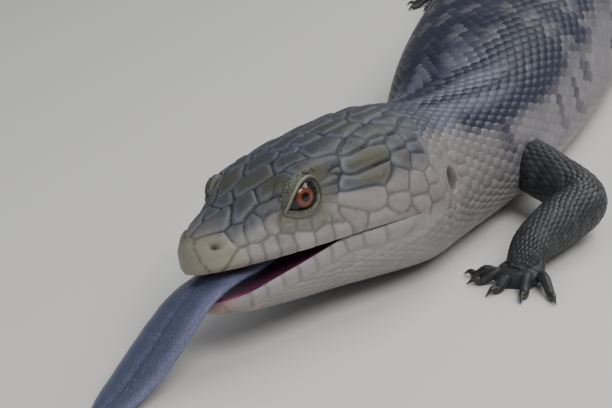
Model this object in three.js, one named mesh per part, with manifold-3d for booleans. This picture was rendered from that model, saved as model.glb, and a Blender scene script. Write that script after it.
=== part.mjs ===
import * as THREE from 'three';
import { mergeVertices } from 'three/addons/utils/BufferGeometryUtils.js';
import Module from 'manifold-3d';

// A blue-tongued skink, life size, lying with its head turned to its right and its tongue out.
// Millimetres. +X is the way the torso points, +Y its left, +Z up, and the floor is z = 0.
// The origin is on the flat of the belly, under the middle of the torso.
// Places along the body are arc lengths s from the snout tip, measured down the body's middle.

const wasm = await Module();
wasm.setup();

// Driving dimensions
const HEAD_LENGTH = 60; // snout tip to the ear line
const NECK_START = 68;
const SHOULDER_CUT = 100;
const BELLY_PLACE = 210;
const TORSO_MIDDLE = 200;
const VENT = 318;
const TAIL_CUTS = [318, 395, 470];
const TOTAL_LENGTH = 545;
const GAP = 0.3; // between nodes that touch

// Pose
const HEAD_TURN = 28; // degrees to the right of the torso
const HEAD_PITCH = 5.2; // nose up
const HEAD_ROLL = 10.4; // left side up
const SHOULDER_ROLL = -3;
const LIP_HEIGHT = 15.5; // of the lip plane over the floor at the ear line
const NECK_BEND = [58, 105];
const GAPE_SLOPE = 0.235; // how fast the lips part, forward of where they meet
const GAPE_START = 31;
const MOUTH_CORNER = 50;

// Mesh fineness
const ARC_POINTS = 40;
const FLOOR_POINTS = 8;
const UNDER_POINTS = 16;
const HEAD_STEP = 1.8;
const BODY_ARC_POINTS = 14;
const TAIL_ARC_POINTS = 8;
const SLIVERS = [0.05, 0.08, 0.03, 0.02, 0.01, 0.005, 0.002]; // corners closer than one of these are joined

const smooth = (x, from, to) => THREE.MathUtils.smoothstep(x, from, to);
const radians = THREE.MathUtils.degToRad;
const bell = (x) => Math.exp(-x * x);

// A size that runs smoothly along the body, from pairs of place and size.
function sizes(...pairs) {
  const places = pairs.map((pair) => pair[0]);
  const spline = new THREE.CubicInterpolant(places, pairs.map((pair) => pair[1]), 1);
  const last = places.length - 1;
  return (s) => spline.evaluate(THREE.MathUtils.clamp(s, places[0], places[last]))[0];
}

// Body sizes, past the head
const bodyHalfWidth = sizes(
  [60, 20.6], [68, 18.8], [76, 18.2], [90, 19.4], [100, 21.4], [112, 24], [140, 28.5], [175, 31.5],
  [210, 32], [250, 30], [280, 26.5], [305, 22], [320, 17.6], [335, 15.6], [380, 12.6], [440, 8.6],
  [500, 4.8], [535, 2.1], [545, 0.5],
);
const bodyTop = sizes(
  [60, 23.4], [68, 22.6], [85, 22.2], [100, 22.8], [120, 24.5], [150, 26.2], [210, 26.8], [260, 25.2],
  [300, 21], [325, 17.6], [380, 13.8], [440, 9.3], [500, 5.2], [535, 2.2], [545, 0.6],
);
const bodyBottom = sizes(
  [0, 14], [50, 14.6], [60, 15.6], [68, 15], [78, 13.6], [95, 13.6], [112, 15.2], [150, 15.8], [210, 16],
  [270, 14.6], [305, 12.4], [325, 10.4], [380, 8.4], [440, 5.9], [500, 3.3], [535, 1.5], [545, 0.5],
);
const FLAT_DEPTH = 0.6; // how far the rounded belly sinks to its flat
const TAIL_FLAT_DEPTH = 0.3;

// Head sizes
const lipHalfWidth = sizes(
  [0, 8.6], [4, 9.4], [9, 11.3], [14, 12.8], [20, 14.7], [24, 15.8], [34, 18], [45, 20.3], [55, 21.4],
  [60, 20.8], [68, 18.8],
);
const headTop = sizes(
  [0, 5.6], [1, 7.2], [3, 8.5], [7, 10.3], [12, 12.6], [18, 15.6], [24, 18.2], [32, 20.6], [45, 22.6],
  [60, 23.4], [68, 22.6],
);
const headSquareness = sizes([0, 2.3], [12, 2.5], [22, 3.1], [32, 3], [45, 2.6], [68, 2.3]);
const jawBottom = sizes(
  [1.6, 8.6], [3, 9.5], [6, 10.6], [10, 11.4], [16, 12.1], [24, 12.9], [36, 13.8], [50, 15], [60, 15.7],
  [68, 15],
);
const SNOUT_ROUND = 7.4; // radius of the snout in plan
const JAW_TIP = 1.6;
const JAW_ROUND = 6.6;
const SHIELD_RISE = 0.6;
const SHIELD_EDGE = 1.2; // width of the slope at a shield's edge
const JAW_WIDTH_RATIO = 0.94;
const MOUTH_HOLLOW = 1.2;

// The spine's line on the floor: the heading of the body at each place.
function headingAt(s) {
  const neck = -HEAD_TURN * (1 - smooth(s, NECK_BEND[0], NECK_BEND[1]));
  const hips = 7 * smooth(s, 215, 320);
  const tail = -26 * smooth(s, 320, 430) + 34 * smooth(s, 440, 545);
  return radians(neck + hips + tail);
}

function lineOnFloor() {
  const points = [];
  let x = 0;
  let y = 0;
  for (let s = 0; s <= TOTAL_LENGTH; s += 1) {
    points.push([x, y]);
    const heading = headingAt(s + 0.5);
    x -= Math.cos(heading);
    y -= Math.sin(heading);
  }
  const [x0, y0] = points[BELLY_PLACE];
  return points.map((point) => [point[0] - x0, point[1] - y0]);
}
const floorLine = lineOnFloor();

function floorPoint(s) {
  const low = Math.min(Math.floor(s), TOTAL_LENGTH - 1);
  const part = s - low;
  const [x0, y0] = floorLine[low];
  const [x1, y1] = floorLine[low + 1];
  return [x0 + (x1 - x0) * part, y0 + (y1 - y0) * part];
}

// Height of the body's middle line: the lip plane in the head, then just under half height.
function axisHeight(s) {
  const head = LIP_HEIGHT + (HEAD_LENGTH - s) * Math.tan(radians(HEAD_PITCH));
  const sunk = THREE.MathUtils.lerp(FLAT_DEPTH, TAIL_FLAT_DEPTH, smooth(s, 300, 360));
  const body = bodyBottom(Math.max(s, 104)) - sunk;
  return THREE.MathUtils.lerp(head, body, smooth(s, 60, 104));
}

function rollAt(s) {
  const head = HEAD_ROLL * (1 - smooth(s, 58, 112));
  const shoulder = SHOULDER_ROLL * smooth(s, 70, 112) * (1 - smooth(s, 125, 190));
  return radians(head + shoulder);
}

// The body's own frame at a place: middle, forward, left and up.
function frameAt(s) {
  const [x, y] = floorPoint(s);
  const heading = headingAt(s);
  const rise = axisHeight(s - 0.5) - axisHeight(s + 0.5);
  const forward = new THREE.Vector3(Math.cos(heading), Math.sin(heading), rise).normalize();
  const level = new THREE.Vector3(-Math.sin(heading), Math.cos(heading), 0);
  const upright = forward.clone().cross(level);
  const roll = rollAt(s);
  const left = level.clone().multiplyScalar(Math.cos(roll)).addScaledVector(upright, Math.sin(roll));
  const up = upright.clone().multiplyScalar(Math.cos(roll)).addScaledVector(level, -Math.sin(roll));
  return { middle: new THREE.Vector3(x, y, axisHeight(s)), forward, left, up };
}

function place(frame, ahead, side, height) {
  return frame.middle.clone()
    .addScaledVector(frame.forward, ahead)
    .addScaledVector(frame.left, side)
    .addScaledVector(frame.up, height);
}

const headFrame = frameAt(HEAD_LENGTH - 4);
headFrame.middle.addScaledVector(headFrame.forward, -4);
const inHead = (ahead, side, height) => place(headFrame, ahead, side, height);

// Closed body from rings of points, each ring closed with a fan about its own centre.
function loft(rings) {
  const count = rings[0].length;
  const points = rings.flat();
  const faces = [];
  for (let i = 0; i < rings.length - 1; i += 1) {
    for (let j = 0; j < count; j += 1) {
      const a = i * count + j;
      const b = i * count + ((j + 1) % count);
      faces.push(a, b, b + count, a, b + count, a + count);
    }
  }
  const capCentre = (ring) => ring.reduce((sum, p) => sum.add(p), new THREE.Vector3())
    .divideScalar(count);
  points.push(capCentre(rings[0]), capCentre(rings[rings.length - 1]));
  const last = (rings.length - 1) * count;
  for (let j = 0; j < count; j += 1) {
    const next = (j + 1) % count;
    faces.push(points.length - 2, next, j, points.length - 1, last + j, last + next);
  }
  const geometry = new THREE.BufferGeometry().setFromPoints(points);
  geometry.setIndex(facingOut(points, faces));
  return geometry;
}

// The faces of a closed body, turned so that they point out.
function facingOut(points, faces) {
  let volume = 0;
  for (let i = 0; i < faces.length; i += 3) {
    const [a, b, c] = [points[faces[i]], points[faces[i + 1]], points[faces[i + 2]]];
    volume += a.dot(b.clone().cross(c));
  }
  return volume > 0 ? faces : faces.slice().reverse();
}

// A three.js shape as a solid for joining and cutting, and back again.
function solidOf(shape) {
  const bare = shape.clone();
  bare.deleteAttribute('normal');
  bare.deleteAttribute('uv');
  const merged = mergeVertices(bare, 1e-4);
  return new wasm.Manifold(new wasm.Mesh({
    numProp: 3,
    vertProperties: new Float32Array(merged.attributes.position.array),
    triVerts: new Uint32Array(merged.index.array),
  }));
}

function largest(solid) {
  return solid.decompose().reduce((best, piece) => (piece.volume() > best.volume() ? piece : best));
}

function shapeOf(solid) {
  const mesh = largest(solid).getMesh();
  const fine = new THREE.BufferGeometry();
  fine.setAttribute('position', new THREE.BufferAttribute(mesh.vertProperties, mesh.numProp));
  fine.setIndex(new THREE.BufferAttribute(mesh.triVerts, 1));
  const closed = SLIVERS.map((size) => withoutSlivers(fine, size)).find(isClosed);
  return (closed ?? fine).toNonIndexed();
}

// Joins corners closer than a size, and drops the faces that this leaves without area or back to back.
function withoutSlivers(shape, size) {
  const merged = mergeVertices(shape.clone(), size);
  const corners = merged.index.array;
  const kept = new Map();
  for (let i = 0; i < corners.length; i += 3) {
    const face = Array.from(corners.slice(i, i + 3));
    const key = face.slice().sort((a, b) => a - b).join();
    if (kept.has(key)) {
      kept.delete(key);
    } else if (new Set(face).size === 3) {
      kept.set(key, face);
    }
  }
  merged.setIndex([...kept.values()].flat());
  return merged;
}

// True where every edge is shared by two faces that run along it in opposite ways.
function isClosed(shape) {
  const corners = shape.index.array;
  const edges = new Map();
  for (let i = 0; i < corners.length; i += 1) {
    const a = corners[i];
    const b = corners[i % 3 === 2 ? i - 2 : i + 1];
    const [low, high, way] = a < b ? [a, b, 1] : [b, a, -1];
    const edge = edges.get(`${low},${high}`) ?? { count: 0, ways: 0 };
    edges.set(`${low},${high}`, { count: edge.count + 1, ways: edge.ways + way });
  }
  return [...edges.values()].every((edge) => edge.count === 2 && edge.ways === 0);
}

const aboveFloor = (solid) => solid.trimByPlane([0, 0, 1], 0);

// Half a section, from the left edge over the back (or under the belly) to the right edge.
function arc(halfWidth, height, squareness, count) {
  const points = [];
  for (let i = 0; i <= count; i += 1) {
    const angle = (Math.PI * i) / count;
    const c = Math.cos(angle);
    const side = Math.sign(c) * halfWidth * Math.abs(c) ** (2 / squareness);
    points.push([side, height * Math.sin(angle) ** (2 / squareness)]);
  }
  return points;
}

// Swellings and hollows of the head's surface, in head places: ahead of the ear line, side, height.
function headRelief(ahead, side, height) {
  const y = Math.abs(side);
  const brow = 1.5 * bell((ahead - 36) / 9) * bell((y - 12.5) / 4) * bell((height - 16.5) / 4);
  const cheekHollow = -0.9 * bell((ahead - 48) / 6) * bell((height - 7) / 4) * bell((y - 11) / 5);
  const jowl = 1.7 * bell((ahead - 7) / 8) * bell((height - 1) / 9) * bell((y - 20) / 7);
  const temple = -0.8 * bell((ahead - 20) / 8) * bell((height - 13) / 4) * bell((y - 17) / 5);
  const lip = 0.4 * bell((height - 1.2) / 1.4) * smooth(ahead, 8, 20);
  return brow + cheekHollow + jowl + temple + lip;
}

// The head's horny shields, each a short line in head places that its plate grows round.
// A row is spaced evenly between two ends, and paired shields are mirrored.
function shieldRow(count, from, to, weight = 0) {
  return Array.from({ length: count }, (_, i) => {
    const t = count > 1 ? i / (count - 1) : 0;
    const middle = new THREE.Vector3(...from).lerp(new THREE.Vector3(...to), t);
    return { from: middle, to: middle, weight };
  });
}

const longShield = (from, to, weight = 0) => [
  { from: new THREE.Vector3(...from), to: new THREE.Vector3(...to), weight },
];

const leftShields = [
  ...longShield([57.8, 4.6, 6.6], [55.2, 8, 5.6], 0.5), // nasal
  ...shieldRow(6, [55.6, 8.2, 1.2], [38.3, 15.3, 1.8]), // front lip shields
  ...shieldRow(2, [33, 16.4, 3], [27, 17.8, 3], 0.5), // lip shields under the eye
  ...longShield([21, 19.3, 1.2], [15, 20.6, 0.8]), // last lip shield
  ...shieldRow(4, [51.5, 8.4, 7.2], [41, 13.4, 6.8], -0.3), // loreals
  ...shieldRow(3, [37.5, 15, 5.6], [31, 17, 7], -0.5), // under the eye
  ...shieldRow(2, [48.4, 5.4, 11.8], [44.2, 9.6, 12.4]), // prefrontal and canthal
  ...shieldRow(4, [42.4, 8.8, 16.2], [29.6, 8.4, 19.6], 0.4), // over the eye
  ...shieldRow(6, [43, 12.4, 13.4], [30, 14.4, 15.6], -0.8), // brow
  ...shieldRow(1, [33.6, 2.6, 19.2], [33.6, 2.6, 19.2]), // frontoparietal
  ...longShield([26.2, 6.4, 20.8], [23.6, 10.4, 19.8], 0.6), // parietal
  ...longShield([23.4, 15.4, 15], [14, 17.6, 15.4], 0.4), // upper temporal
  ...longShield([25, 16.4, 11], [12.6, 19, 11.8]), // lower temporal
  ...longShield([25.6, 17.4, 7], [18, 19.8, 6.6]), // cheek
  ...shieldRow(3, [19.6, 3.2, 22], [18.4, 13.2, 19]), // first nuchals
  ...shieldRow(3, [14, 6.2, 22.2], [11.4, 16.4, 17.2]),
  ...shieldRow(3, [9, 3.2, 23], [5.6, 15.6, 18]),
  ...shieldRow(4, [3.4, 6.4, 23], [6.8, 21, 5]),
  ...shieldRow(3, [11.6, 18.6, 13], [12.8, 21.4, 2.6], -0.2), // behind the cheek
  ...shieldRow(6, [-2, 3.2, 23.4], [1.2, 21.6, 1.2]),
];

const middleShields = [
  ...longShield([60, 0, 2], [59.6, 0, 5.4], 1.2), // rostral
  ...shieldRow(1, [53.4, 0, 10.4], [53.4, 0, 10.4], 0.9), // frontonasal
  ...longShield([44.6, 0, 14.8], [39.4, 0, 17.2], 0.6), // frontal
  ...shieldRow(1, [27.6, 0, 20.8], [27.6, 0, 20.8]), // interparietal
  ...shieldRow(2, [14.2, 0, 22.8], [3.6, 0, 23.4]),
];

const mirrored = (point) => point.clone().multiply(new THREE.Vector3(1, -1, 1));
const shields = [
  ...middleShields,
  ...leftShields,
  ...leftShields.map(({ from, to, weight }) => ({ from: mirrored(from), to: mirrored(to), weight })),
].map(({ from, to, weight }) => ({ line: new THREE.Line3(from, to), weight }));

// How far a shield stands proud here: full height inside it, nothing on its edges.
function shieldRise(ahead, side, height) {
  const point = new THREE.Vector3(ahead, side, height);
  const nearest = new THREE.Vector3();
  let first = Infinity;
  let second = Infinity;
  for (const { line, weight } of shields) {
    line.closestPointToPoint(point, true, nearest);
    const distance = nearest.distanceTo(point) - weight;
    if (distance < first) {
      second = first;
      first = distance;
    } else if (distance < second) {
      second = distance;
    }
  }
  const fromEdge = (second - first) / 2;
  return SHIELD_RISE * (1 - bell(fromEdge / SHIELD_EDGE)) * smooth(ahead, -6, 2);
}

// The nostrils' level is the widest of the snout, and the lip tucks in a little under it.
function snoutTuck(s, height) {
  const under = THREE.MathUtils.clamp(1 - height / 4, 0, 1);
  return 1 - 0.14 * under * under * (1 - smooth(s, 4, 16));
}

const roundEnd = (s, radius) => (s >= radius ? 1 : Math.sqrt(1 - (1 - s / radius) ** 2));

// A section of the head: over the top, then back under the palate, or under the throat behind the mouth.
function headRing(s, offset = 0, throat = s > MOUTH_CORNER) {
  const frame = frameAt(s);
  const width = lipHalfWidth(s) * roundEnd(Math.max(s, 0.12), SNOUT_ROUND);
  const over = arc(width, headTop(s), headSquareness(s), ARC_POINTS).map(([side, height]) => {
    const ahead = HEAD_LENGTH - s;
    const push = headRelief(ahead, side, height) + shieldRise(ahead, side, height);
    const grow = 1 + push / (Math.hypot(side, height) || 1);
    return [side * grow * snoutTuck(s, height), height * grow];
  });
  const lipSide = over[0][0];
  const palate = [];
  for (let i = 1; i < UNDER_POINTS; i += 1) {
    const across = -1 + (2 * i) / UNDER_POINTS;
    palate.push([lipSide * across, 2.2 * (1 - across ** 4) * smooth(width, 4, 12)]);
  }
  const below = throat ? underArc(s, width, jawBottom(s), UNDER_POINTS).slice(1, -1).reverse() : palate;
  return [...over, ...below].map(([side, height]) => place(frame, offset, side, height));
}

// The lips part forward of the gape's start, so the jaw's rim falls away from the lip plane.
const jawDrop = (s) => GAP + Math.max(0, GAPE_START - s) * GAPE_SLOPE;

function jawHalfWidth(s) {
  const ratio = THREE.MathUtils.lerp(JAW_WIDTH_RATIO, 1, smooth(s, 30, 54));
  return ratio * lipHalfWidth(s) * roundEnd(Math.max(s - JAW_TIP, 0.12), JAW_ROUND);
}

function underArc(s, width, depth, count) {
  return arc(width, depth, 2.5, count).map(([side, height]) => {
    const push = headRelief(HEAD_LENGTH - s, side, -height);
    const grow = 1 + push / (Math.hypot(side, height) || 1);
    return [side * grow, -height * grow];
  });
}

function jawRing(s, offset = 0) {
  const frame = frameAt(s);
  const drop = jawDrop(s);
  const under = underArc(s, jawHalfWidth(s), jawBottom(s) - drop, ARC_POINTS / 2).reverse();
  const rim = under[0][0];
  const floor = [];
  for (let i = 1; i < FLOOR_POINTS; i += 1) {
    const across = 1 - (2 * i) / FLOOR_POINTS;
    const hollow = MOUTH_HOLLOW * (1 - across ** 4) * smooth(s, 4, 12) * (1 - smooth(s, 40, 49));
    floor.push([-rim * across, -hollow]);
  }
  return [...under, ...floor].map(([side, height]) => place(frame, offset, side, height - drop));
}

function bodyRing(s, offset = 0, count = BODY_ARC_POINTS) {
  const frame = frameAt(s);
  const over = arc(bodyHalfWidth(s), bodyTop(s), 2.3, count);
  const under = arc(bodyHalfWidth(s), bodyBottom(s), 2.5, count)
    .map(([side, height]) => [side, -height]);
  const ring = [...over, ...under.slice(1, -1).reverse()];
  return ring.map(([side, height]) => place(frame, offset, side, height));
}

// Places for rings from one end to the other, drawn closer together near the start when asked.
function stations(from, to, step, crowding = 1) {
  const count = Math.max(2, Math.round((to - from) / step));
  return Array.from({ length: count + 1 }, (_, i) => from + (to - from) * (i / count) ** crowding);
}

// A length of the body between two cuts, its end faces half a gap short of them.
function bodyLength(from, to, step, count = BODY_ARC_POINTS) {
  const inner = stations(from, to, step).slice(1, -1).map((s) => bodyRing(s, 0, count));
  const last = bodyRing(to, to < TOTAL_LENGTH ? GAP / 2 : 0, count);
  return aboveFloor(solidOf(loft([bodyRing(from, -GAP / 2, count), ...inner, last])));
}

// Eyes, in head places
const EYE_AHEAD = 36.6;
const EYE_SIDE = 10.7;
const EYE_HEIGHT = 11.3;
const EYE_RADIUS = 5;
const LID_RADIUS = 6.2;
const APERTURE_LENGTH = 9.2;
const APERTURE_HEIGHT = 6.6;
const APERTURE_TILT = 14; // degrees, rear end up

function ball(radius, centre, squash = [1, 1, 1], detail = [20, 12]) {
  const shape = new THREE.SphereGeometry(radius, detail[0], detail[1]);
  shape.scale(...squash);
  const turn = new THREE.Matrix4().makeBasis(headFrame.forward, headFrame.left, headFrame.up);
  shape.applyMatrix4(turn);
  shape.translate(...centre.toArray());
  return solidOf(shape);
}

const eyePlace = (hand) => inHead(EYE_AHEAD, hand * EYE_SIDE, EYE_HEIGHT);
const eyeball = (hand) => ball(EYE_RADIUS, eyePlace(hand), [1, 1, 1], [14, 8]);

// The opening between the lids: a teardrop, round behind and pointed in front.
function lidOpening(hand) {
  const outline = new THREE.Shape();
  const half = APERTURE_LENGTH / 2;
  const tall = APERTURE_HEIGHT / 2;
  outline.moveTo(half, -1.1);
  outline.quadraticCurveTo(1.6, tall * 1.05, -0.9, tall);
  outline.quadraticCurveTo(-half, tall, -half, 0);
  outline.quadraticCurveTo(-half, -tall, -0.6, -tall);
  outline.quadraticCurveTo(1.8, -tall * 1.02, half, -1.1);
  const prism = new THREE.ExtrudeGeometry(outline, { depth: 9, bevelEnabled: false, curveSegments: 5 });
  prism.rotateZ(-radians(APERTURE_TILT));
  const along = headFrame.forward;
  const out = headFrame.left.clone().multiplyScalar(hand);
  const basis = new THREE.Matrix4().makeBasis(along, headFrame.up, out);
  prism.applyMatrix4(basis);
  if (hand > 0) {
    flip(prism);
  }
  prism.translate(...eyePlace(hand).toArray());
  return solidOf(prism);
}

// Turns a shape's faces round after it has been mirrored.
function flip(shape) {
  const position = shape.attributes.position;
  for (let i = 0; i < position.count; i += 3) {
    const a = new THREE.Vector3().fromBufferAttribute(position, i);
    const b = new THREE.Vector3().fromBufferAttribute(position, i + 1);
    position.setXYZ(i, b.x, b.y, b.z);
    position.setXYZ(i + 1, a.x, a.y, a.z);
  }
}

// Nostrils and ears
const NOSTRIL = { ahead: 56.6, side: 7.2, height: 5.6, radius: 1.1 };
const EAR = { ahead: -4, side: 19.4, height: 4.2, length: 4.6, tall: 7, depth: 3.6 };

function headSolid() {
  const overMouth = [0, 0.5, ...stations(1.4, MOUTH_CORNER, HEAD_STEP, 1.1)].map((s) => headRing(s));
  const behindMouth = stations(MOUTH_CORNER, NECK_START, HEAD_STEP).slice(1, -1).map((s) => headRing(s));
  const wall = headRing(MOUTH_CORNER, -GAP / 2, true);
  let head = solidOf(loft([...overMouth, wall, ...behindMouth, headRing(NECK_START, GAP / 2)]));
  for (const hand of [1, -1]) {
    head = head.add(ball(LID_RADIUS, eyePlace(hand)));
  }
  for (const hand of [1, -1]) {
    const nostril = inHead(NOSTRIL.ahead, hand * NOSTRIL.side, NOSTRIL.height);
    const ear = inHead(EAR.ahead, hand * EAR.side, EAR.height);
    head = head.subtract(ball(EYE_RADIUS + GAP, eyePlace(hand)));
    head = head.subtract(lidOpening(hand));
    head = head.subtract(ball(NOSTRIL.radius, nostril, [1.2, 1.3, 0.9], [8, 6]));
    const cup = [EAR.length / 2, EAR.depth, EAR.tall / 2].map((half) => half / EAR.depth);
    head = head.subtract(ball(EAR.depth, ear, cup, [10, 8]));
  }
  return aboveFloor(head);
}

function jawSolid() {
  const rings = [JAW_TIP, JAW_TIP + 0.5, ...stations(JAW_TIP + 1.2, MOUTH_CORNER, 3, 1.1).slice(0, -1)]
    .map((s) => jawRing(s));
  rings.push(jawRing(MOUTH_CORNER, GAP / 2));
  return aboveFloor(solidOf(loft(rings)));
}

// Tongue: flat, broad and grooved, out over the lower lip and down to the floor.
const TONGUE_HALF_WIDTH = sizes([0, 7], [0.35, 7.8], [0.6, 8], [0.8, 7], [0.92, 5.2], [1, 1.4]);
const TONGUE_HALF_THICK = sizes([0, 1.3], [0.3, 1.9], [0.7, 1.7], [0.92, 1.1], [1, 0.5]);

function tongueSolid() {
  const path = new THREE.CatmullRomCurve3([
    [30, 0, 0.2], [38, 0, -0.6], [47, 0, -2.2], [54, -0.2, -3.1], [60.8, -0.8, -5.4], [67, -1.6, -9.6],
    [73, -2.4, -14.2], [79, -3, -18.2], [85, -3.4, -21.2], [90.5, -3.6, -22.6],
  ].map(([ahead, side, height]) => inHead(ahead, side, height)));
  const count = 19;
  const rings = [];
  for (let i = 0; i <= count; i += 1) {
    const t = i / count;
    const middle = path.getPointAt(t);
    const along = path.getTangentAt(t);
    const left = headFrame.left.clone().lerp(new THREE.Vector3(0, 1, 0)
      .applyAxisAngle(new THREE.Vector3(0, 0, 1), headingAt(0)), smooth(t, 0.4, 0.8)).normalize();
    const up = along.clone().cross(left).normalize();
    const ring = [];
    for (let j = 0; j < 14; j += 1) {
      const angle = (2 * Math.PI * j) / 14;
      const across = Math.cos(angle);
      const groove = Math.sin(angle) > 0 ? 1 - 0.35 * bell(across / 0.22) : 1;
      ring.push(middle.clone()
        .addScaledVector(left, -TONGUE_HALF_WIDTH(t) * across)
        .addScaledVector(up, TONGUE_HALF_THICK(t) * Math.sin(angle) * groove));
    }
    rings.push(ring);
  }
  return aboveFloor(solidOf(loft(rings)));
}

// A ring of points round a middle, square to a direction.
function ringAcross(middle, along, radius, sides, flatten = 1) {
  const left = new THREE.Vector3(0, 0, 1).cross(along);
  if (left.length() < 0.05) {
    left.set(0, 1, 0);
  }
  left.normalize();
  const up = along.clone().cross(left);
  return Array.from({ length: sides }, (_, j) => {
    const angle = (2 * Math.PI * j) / sides;
    return middle.clone()
      .addScaledVector(left, -radius * Math.cos(angle))
      .addScaledVector(up, radius * flatten * Math.sin(angle));
  });
}

function ringsAlong(points, radii, sides, count, flatten = 1) {
  const path = new THREE.CatmullRomCurve3(points);
  const radius = sizes(...radii.map((r, i) => [i / (radii.length - 1), r]));
  return Array.from({ length: count + 1 }, (_, i) => {
    const t = i / count;
    return ringAcross(path.getPoint(t), path.getTangent(t), radius(t), sides, flatten);
  });
}

const tube = (...shape) => solidOf(loft(ringsAlong(...shape)));

// The rings of a half ball beyond the end of a limb (way 1) or before its start (way -1).
function halfBall(centre, along, radius, way) {
  const rings = BALL_LATITUDES.map((latitude) => {
    const reach = way * radius * Math.sin(radians(latitude));
    const middle = centre.clone().addScaledVector(along, reach);
    return ringAcross(middle, along, radius * Math.cos(radians(latitude)), LIMB_SIDES);
  });
  return way > 0 ? rings : rings.reverse();
}

const CLAW_LENGTH = 3.6;
const CLAW_TIP_HEIGHT = 0.35;
const TOE_SPACING = 2.5;
const SOLE_HEIGHT = 1.9;
const SOLE_REACH = 3.4; // ahead of the palm
const SOLE_HALF_WIDTHS = [4.4, 5.4, 6.2, 4.6];
const HEEL_HEIGHT = 3.2;
const UPPER_LIMB_ARCH = 0.8;
const LIMB_SIDES = 10;
const BALL_LATITUDES = [25, 48, 68, 84]; // degrees from a ball end's equator

// A toe arched over its knuckle, running out into its claw.
function toe(root, tip, thick) {
  const ahead = tip.clone().sub(root).setZ(0).normalize();
  const knuckle = root.clone().lerp(tip, 0.45).setZ(thick * 1.9);
  const pad = tip.clone().setZ(thick * 0.75 - 0.3);
  const clawBend = tip.clone().addScaledVector(ahead, CLAW_LENGTH * 0.4).setZ(thick * 0.95);
  const clawEnd = tip.clone().addScaledVector(ahead, CLAW_LENGTH).setZ(CLAW_TIP_HEIGHT);
  const thickness = [thick * 1.15, thick, thick * 0.75, thick * 0.5, 0.12];
  return tube([root, knuckle, pad, clawBend, clawEnd], thickness, 6, 6);
}

// The upper limb from its root in the body, with a ball end that fills the elbow or knee.
function upperLimb({ root, elbow, thick }) {
  const middle = root.clone().lerp(elbow, 0.5);
  middle.z += UPPER_LIMB_ARCH;
  const along = elbow.clone().sub(middle).normalize();
  const rings = ringsAlong([root, middle, elbow], thick.slice(0, 3), LIMB_SIDES, 6);
  return aboveFloor(solidOf(loft([...rings, ...halfBall(elbow, along, thick[2], 1)])));
}

// The lower limb from the same ball to the palm.
function lowerLimb({ elbow, wrist, palm, thick }) {
  const middle = elbow.clone().lerp(wrist, 0.5);
  const along = middle.clone().sub(elbow).normalize();
  const rings = ringsAlong([elbow, middle, wrist, palm], thick.slice(2), LIMB_SIDES, 9);
  return aboveFloor(solidOf(loft([...halfBall(elbow, along, thick[2], -1), ...rings])));
}

// toes: for each, its spread in degrees from the foot's heading and its reach without the claw
function footSolid({ wrist, palm, heading, toes, hand }) {
  const heel = wrist.clone().lerp(palm, 0.5).setZ(HEEL_HEIGHT);
  const middle = palm.clone().setZ(SOLE_HEIGHT + 0.3);
  const ball = palm.clone().addScaledVector(heading, SOLE_REACH).setZ(SOLE_HEIGHT);
  let foot = tube([wrist, heel, middle, ball], SOLE_HALF_WIDTHS, 8, 5, 0.5);
  const up = new THREE.Vector3(0, 0, 1);
  const across = up.clone().cross(heading);
  toes.forEach(([spread, reach, size], i) => {
    const way = heading.clone().applyAxisAngle(up, radians(spread * hand));
    const start = palm.clone().addScaledVector(across, hand * (i - 2) * TOE_SPACING).setZ(SOLE_HEIGHT);
    const end = start.clone().addScaledVector(way, reach);
    foot = foot.add(toe(start, end, size));
  });
  return aboveFloor(foot);
}

// Cuts a limb square to its run at a joint and gives the two sides.
function cutAt(solid, point, normal) {
  const n = normal.clone().normalize();
  const offset = n.dot(point);
  return [
    largest(solid.trimByPlane(n.clone().negate().toArray(), -(offset - GAP / 2))),
    largest(solid.trimByPlane(n.toArray(), offset + GAP / 2)),
  ];
}

const FORE_TOES = [[-46, 7, 1.4], [-20, 8.6, 1.5], [2, 9.4, 1.5], [24, 8.8, 1.45], [52, 7, 1.35]];
const TURNED_TOES = [[-112, 6.4, 1.45], [-80, 6.4, 1.5], [-38, 6.6, 1.55], [0, 7.6, 1.55], [26, 9, 1.45]];
const HIND_TOES = [[-42, 6.4, 1.3], [-18, 9, 1.4], [3, 10.8, 1.45], [21, 11.6, 1.4], [48, 7.4, 1.3]];

const FORE_LIMB = {
  s: 101, rootSide: 13, rootHeight: -2, thick: [7.4, 6.7, 6.2, 6.1, 4.9, 3.6], toes: FORE_TOES,
};
const HIND_LIMB = {
  s: 304, rootSide: 13, rootHeight: -1, thick: [9, 8.4, 7.2, 6.8, 5, 3.6], toes: HIND_TOES,
};

// Where each limb's joints stand, ahead and aside of its root on the midline, and how high.
const POSES = {
  fore_left: {
    elbow: [25, 35, 9], wrist: [46, 26.6, 6.5], palm: [51.5, 24.6, 2.4], heading: 0, hand: 1,
    toes: TURNED_TOES,
  },
  fore_right: { elbow: [-12, -36, 13], wrist: [6, -44, 6.5], palm: [10, -46, 2.4], heading: -14, hand: -1 },
  hind_left: { elbow: [17, 38, 14], wrist: [-6, 48, 6.5], palm: [-8, 52, 2.4], heading: 38, hand: 1 },
  hind_right: { elbow: [24, -34, 14], wrist: [4, -47, 6.5], palm: [2.5, -51, 2.4], heading: -24, hand: -1 },
};

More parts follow.
